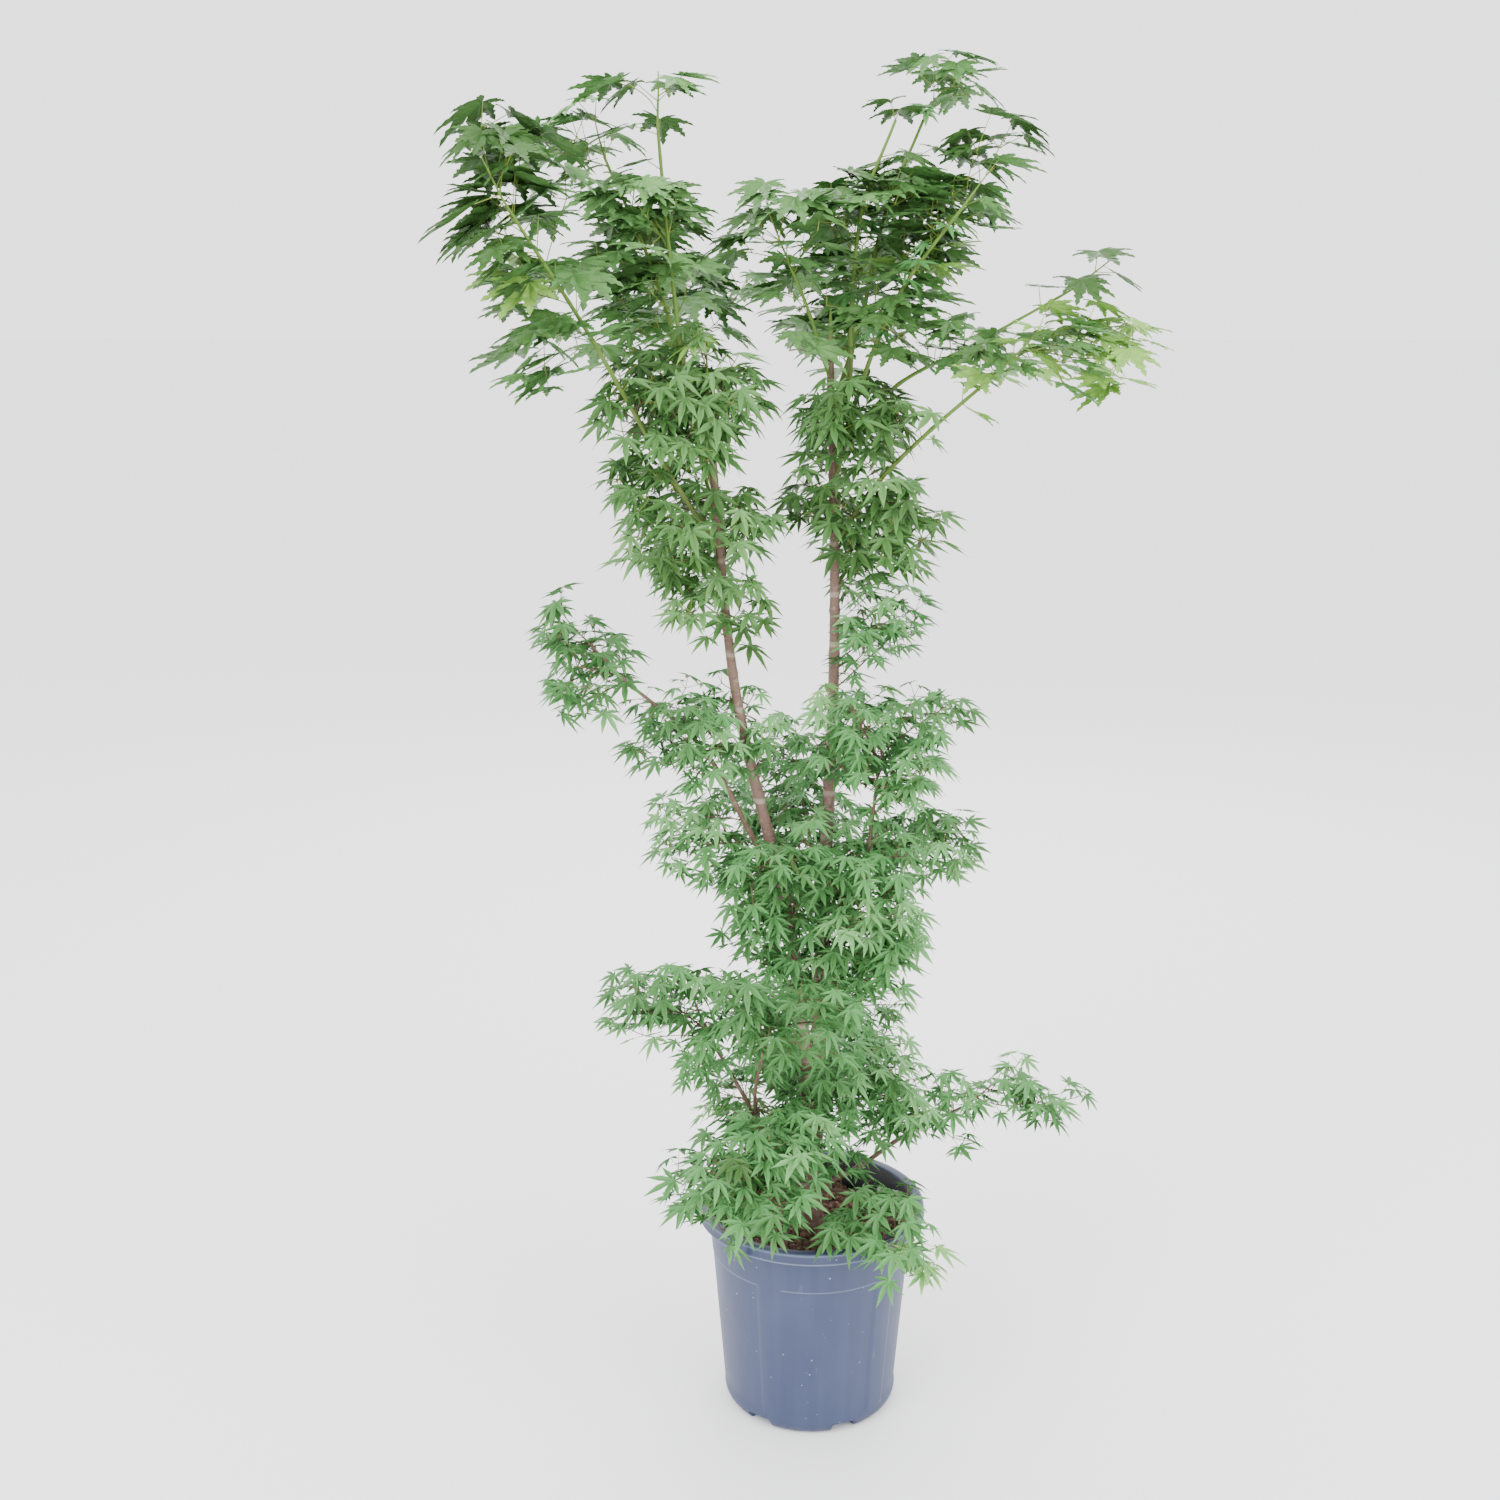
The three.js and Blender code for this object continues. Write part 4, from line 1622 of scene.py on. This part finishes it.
@dataclass
class Pot:
    """The round tapered nursery pot, on the frame's own sizes."""

    low: Vector
    high: Vector
    lip_depth: float = 0.016
    lip_wall: float = 0.003
    wall: float = 0.0034
    wall_top: float = 0.1535
    wall_foot: float = 0.1295
    foot: float = 0.113
    corner: float = 0.020
    floor: float = 0.005
    inner_floor: float = 0.25
    sides: int = 288
    panels: int = 5
    panel_top: float = 0.243
    panel_share: float = 0.81
    panel_turn: float = 12.0
    panel_sink: float = 0.0020
    notch_count: int = 6
    notch_turn: float = -66.0
    notch_height: float = 0.0125
    notch_half: float = 0.020
    notch_depth: float = 0.010

    def outline(self) -> list[Ring]:
        """Returns the section, from the middle of the foot round to the middle of the floor."""
        top = self.high.z
        lip = self.high.x
        plate = top - self.lip_wall
        foot_z = top - self.lip_depth
        section = [Ring(0.0, 0.0), Ring(self.foot * 0.8, 0.0), Ring(self.foot, 0.0)]
        for k in range(1, 9):
            turn = math.pi / 2 * k / 8
            radius = self.foot + (self.wall_foot - self.foot) * math.sin(turn)
            section.append(Ring(radius, self.corner * (1 - math.cos(turn))))
        rise = plate - self.corner
        heights = [self.corner + rise * k / 48 for k in range(1, 49)]
        heights += [self.panel_top + offset for offset in (-0.0036, -0.0014, 0.0, 0.0014, 0.003)]
        for height in sorted(heights):
            share = (height - self.corner) / rise
            radius = self.wall_foot + (self.wall_top - self.wall_foot) * share
            section.append(Ring(radius, height))
        # Rings given an edge highlight share get a painted highlight along the lip's edges.
        section += [
            Ring(lip - self.lip_wall, plate),
            Ring(lip - self.lip_wall, foot_z),
            Ring(lip - 0.0008, foot_z - 0.0002, worn=1.0),
            Ring(lip, foot_z + 0.001, worn=1.0),
            Ring(lip - 0.0006, foot_z + 0.0028),
            Ring(lip - 0.0006, top - 0.004),
            Ring(lip - 0.0012, top - 0.0010, worn=1.0),
            Ring(lip - 0.0032, top, worn=0.7),
            Ring(lip - 0.0060, top),
            Ring(self.wall_top + 0.001, top),
            # Rings given an inside share get painted shade, darkening the inside wall and floor.
            Ring(self.wall_top - 0.0015, top - 0.001, inside=0.5),
            Ring(self.wall_top - self.wall, plate, inside=1.0),
        ]
        share = (self.inner_floor - self.corner) / rise
        radius = self.wall_foot + (self.wall_top - self.wall_foot) * share - self.wall
        section.append(Ring(radius, self.inner_floor, inside=1.0))
        return [*section, Ring(0.0, self.inner_floor, inside=1.0)]

    def build(self) -> None:
        """Builds the pot as one turned shell with sunk panels and drainage notches."""
        made = bmesh.new()
        # Each corner keeps its share of painted shade on the inside.
        inside = made.verts.layers.float.new("inside")
        # Each corner keeps its share of painted highlight on the edges.
        worn = made.verts.layers.float.new("worn")
        rings = []
        for part in self.outline():
            count = self.sides if part.radius > 0 else 1
            ring = []
            for k in range(count):
                angle = 2 * math.pi * k / count
                reach, lift, highlight_share = self._shaped(part, math.degrees(angle))
                vert = made.verts.new((reach * math.cos(angle), reach * math.sin(angle), lift))
                vert[inside] = part.inside
                vert[worn] = highlight_share
                ring.append(vert)
            rings.append(ring)
        for a, b in zip(rings, rings[1:]):
            for k in range(self.sides):
                after = (k + 1) % self.sides
                corners = [a[k % len(a)], a[after % len(a)], b[after % len(b)], b[k % len(b)]]
                made.faces.new(list(dict.fromkeys(corners)))
        bmesh.ops.recalc_face_normals(made, faces=made.faces)
        data = bpy.data.meshes.new("nursery_pot")
        made.to_mesh(data)
        made.free()
        data.materials.append(PotFinish().make())
        data.shade_smooth()
        data.set_sharp_from_angle(angle=math.radians(40))
        piece = bpy.data.objects.new("nursery_pot", data)
        bpy.context.scene.collection.objects.link(piece)
        dress(piece, "pot", "pot")

    def _shaped(self, part: "Ring", degrees: float) -> tuple[float, float, float]:
        """Returns a wall point's radius, height and painted edge highlight after its panel and notch.
        """
        radius, height = part.radius, part.height
        if part.inside > 0 or height > self.panel_top + 0.02:
            return radius, height, part.worn
        period = 360 / self.panels
        half = period * self.panel_share / 2
        aside = abs((degrees + 90 - self.panel_turn + period / 2) % period - period / 2)
        edge = min(1.0, max(0.0, (half - aside) / 1.6))
        lid = min(1.0, max(0.0, (self.panel_top - height) / 0.0014))
        base = min(1.0, max(0.0, (height - self.corner) / 0.01))
        reach = radius - self.panel_sink * edge * lid * base
        # Painted highlight along the panels' top edges.
        ledge_highlight = edge * max(0.0, 1 - abs(height - self.panel_top - 0.0007) / 0.0016)
        reach, lift = self._notched(reach, height, degrees)
        return reach, lift, ledge_highlight

    def _notched(self, radius: float, height: float, degrees: float) -> tuple:
        """Returns the radius and height of a point of the bottom edge after its notch."""
        period = 360 / self.notch_count
        aside = abs((degrees - self.notch_turn + period / 2) % period - period / 2)
        half = math.degrees(self.notch_half / self.wall_foot)
        within = min(1.0, max(0.0, (half - aside) / 1.2))
        if radius < self.foot * 0.9 or height > self.notch_height:
            return radius, height
        lifted = height + within * (self.notch_height - height)
        return radius - within * self.notch_depth * (1 - height / self.corner), lifted


@dataclass
class Soil:
    """The bark compost: a rough bed with loose lumps and chips on it."""

    top: float
    radius: float
    seed: int = 9
    lumps: int = 1000
    smallest: float = 0.005
    largest: float = 0.0125
    shapes: int = 5

    def build(self) -> None:
        """Builds the bed and its lumps."""
        self._bed()
        self._lumps()

    def _bed(self) -> None:
        """Builds the uneven bed as a closed disc."""
        made = bmesh.new()
        steps, sides = 30, 96
        centre = made.verts.new((0, 0, self._height(0, 0)))
        rings = []
        for i in range(1, steps + 1):
            reach = self.radius * i / steps
            ring = []
            for k in range(sides):
                angle = 2 * math.pi * k / sides
                x, y = reach * math.cos(angle), reach * math.sin(angle)
                ring.append(made.verts.new((x, y, self._height(x, y))))
            rings.append(ring)
        under = [made.verts.new((v.co.x, v.co.y, self.top - 0.02)) for v in rings[-1]]
        rings.append(under)
        for k in range(sides):
            made.faces.new((centre, rings[0][k], rings[0][(k + 1) % sides]))
        for a, b in zip(rings, rings[1:]):
            for k in range(sides):
                made.faces.new((a[k], b[k], b[(k + 1) % sides], a[(k + 1) % sides]))
        made.faces.new(under[::-1])
        bmesh.ops.recalc_face_normals(made, faces=made.faces)
        data = bpy.data.meshes.new("compost_bed")
        made.to_mesh(data)
        made.free()
        data.materials.append(CompostFinish("compost_bed").make())
        data.shade_smooth()
        piece = bpy.data.objects.new("compost_bed", data)
        bpy.context.scene.collection.objects.link(piece)
        dress(piece, "soil", "soil")

    def _height(self, x: float, y: float) -> float:
        """Returns the bed's height, humped a little round the trunk."""
        rough = noise.noise(Vector((x, y, 0)) * 60) * 0.004
        fine = noise.noise(Vector((x, y, 3)) * 190) * 0.0025
        return self.top + rough + fine + 0.006 * math.exp(-(x * x + y * y) / 0.0016) - 0.004

    def _lumps(self) -> None:
        """Scatters the lumps over the bed."""
        rng = random.Random(self.seed)
        dots = Dots()
        for _ in range(self.lumps):
            reach = self.radius * math.sqrt(rng.random()) * 0.97
            angle = rng.uniform(0, 2 * math.pi)
            x, y = reach * math.cos(angle), reach * math.sin(angle)
            size = rng.uniform(self.smallest, self.largest) * (0.6 + 0.4 * rng.random())
            turn = Euler([rng.uniform(0, math.pi) for _ in range(3)]).to_matrix()
            place = Vector((x, y, self._height(x, y) + size * 0.25))
            dots.add(place, turn, Vector((size, size, size)), rng.randrange(self.shapes))
        shapes = bpy.data.collections.new("lump_shapes")
        for k in range(self.shapes):
            shapes.objects.link(self._lump_shape(k))
        name = "compost_lumps"
        values = {"Shapes": shapes, "Material": CompostFinish(name, linear(78, 56, 46)).make()}
        dress(ScatterTree().apply(name, dots.mesh(name), values), "soil")

    @staticmethod
    def _lump_shape(index: int) -> bpy.types.Object:
        """Returns one chip of bark: an uneven, flattened lump of a few dozen faces."""
        rng = random.Random(index + 70)
        made = bmesh.new()
        bmesh.ops.create_icosphere(made, subdivisions=1, radius=1)
        stretch = Vector((rng.uniform(0.8, 1.1), rng.uniform(0.6, 0.9), rng.uniform(0.5, 0.8)))
        for vert in made.verts:
            push = rng.uniform(0.8, 1.12)
            vert.co = Vector([vert.co[i] * stretch[i] * push for i in range(3)])
        data = bpy.data.meshes.new(f"lump_{index}")
        made.to_mesh(data)
        made.free()
        return bpy.data.objects.new(f"lump_{index}", data)


# ------------------------------------------------------------------ studio
@dataclass
class Studio:
    """The pale floor, the soft lights and the camera."""

    eye: Vector = field(default_factory=lambda: Vector((0.0, -2.531, 1.639)))
    pitch: float = 14.0
    yaw: float = 2.07
    lens: float = 44.45
    floor_size: float = 60.0

    def build(self) -> None:
        """Builds the studio."""
        self._floor()
        self._world()
        self._light("key_light", Vector((-2.2, -3.0, 3.4)), 2.6, 150)
        self._light("fill_light", Vector((2.8, -2.2, 2.2)), 2.6, 80)
        self._light("back_light", Vector((0.4, 3.0, 3.2)), 2.8, 90)
        self._camera()

    def _floor(self) -> None:
        """Builds the floor."""
        made = bmesh.new()
        bmesh.ops.create_grid(made, x_segments=1, y_segments=1, size=self.floor_size)
        data = bpy.data.meshes.new("floor")
        made.to_mesh(data)
        made.free()
        data.materials.append(FloorFinish().make())
        floor = bpy.data.objects.new("floor", data)
        bpy.context.scene.collection.objects.link(floor)
        floor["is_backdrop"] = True

    @staticmethod
    def _world() -> None:
        """Builds a plain white sky."""
        world = bpy.data.worlds.new("white_sky")
        world.use_nodes = True
        sky = world.node_tree.nodes["Background"]
        sky.inputs["Color"].default_value = (1.0, 1.0, 1.0, 1.0)
        sky.inputs["Strength"].default_value = 2.4
        bpy.context.scene.world = world

    @staticmethod
    def _light(name: str, place: Vector, size: float, power: float) -> None:
        """Adds a large soft light that faces the plant."""
        lamp = bpy.data.lights.new(name, "AREA")
        lamp.size = size
        lamp.energy = power
        light = bpy.data.objects.new(name, lamp)
        light.location = place
        aim = Vector((0.0, 0.0, 1.0)) - place
        light.rotation_euler = aim.to_track_quat("-Z", "Y").to_euler()
        bpy.context.scene.collection.objects.link(light)

    def _camera(self) -> None:
        """Adds the camera at standing height, looking slightly down."""
        lens = bpy.data.cameras.new("camera")
        lens.lens = self.lens
        lens.sensor_width = 36.0
        camera = bpy.data.objects.new("camera", lens)
        camera.location = self.eye
        turn = (math.radians(90 - self.pitch), 0.0, math.radians(self.yaw))
        camera.rotation_euler = Euler(turn)
        bpy.context.scene.collection.objects.link(camera)
        bpy.context.scene.camera = camera


def main() -> None:
    """Builds the plant, its pot and the studio, and reports each piece."""
    logging.basicConfig(level=logging.INFO, format="%(name)s: %(message)s")
    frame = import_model()
    nodes = frame["nodes"]
    low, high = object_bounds()

    wood = Wood()
    wood.read(nodes)
    masses = [Mass.read(nodes[name]) for name in sorted(nodes) if name.endswith("_foliage")]
    growth = Growth()
    leaders = growth.leaders(wood.limbs, masses)
    twigs = growth.grow(leaders, masses)
    LOG.info("%d twigs", len(twigs))
    wood.build(leaders)
    Foliage(low, high).build(twigs, leaders, masses)

    Pot(*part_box("pot")).build()
    soil_low, soil_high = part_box("soil")
    Soil(top=soil_high.z, radius=soil_high.x + 0.0002).build()
    Studio().build()


if __name__ == "__main__":
    main()
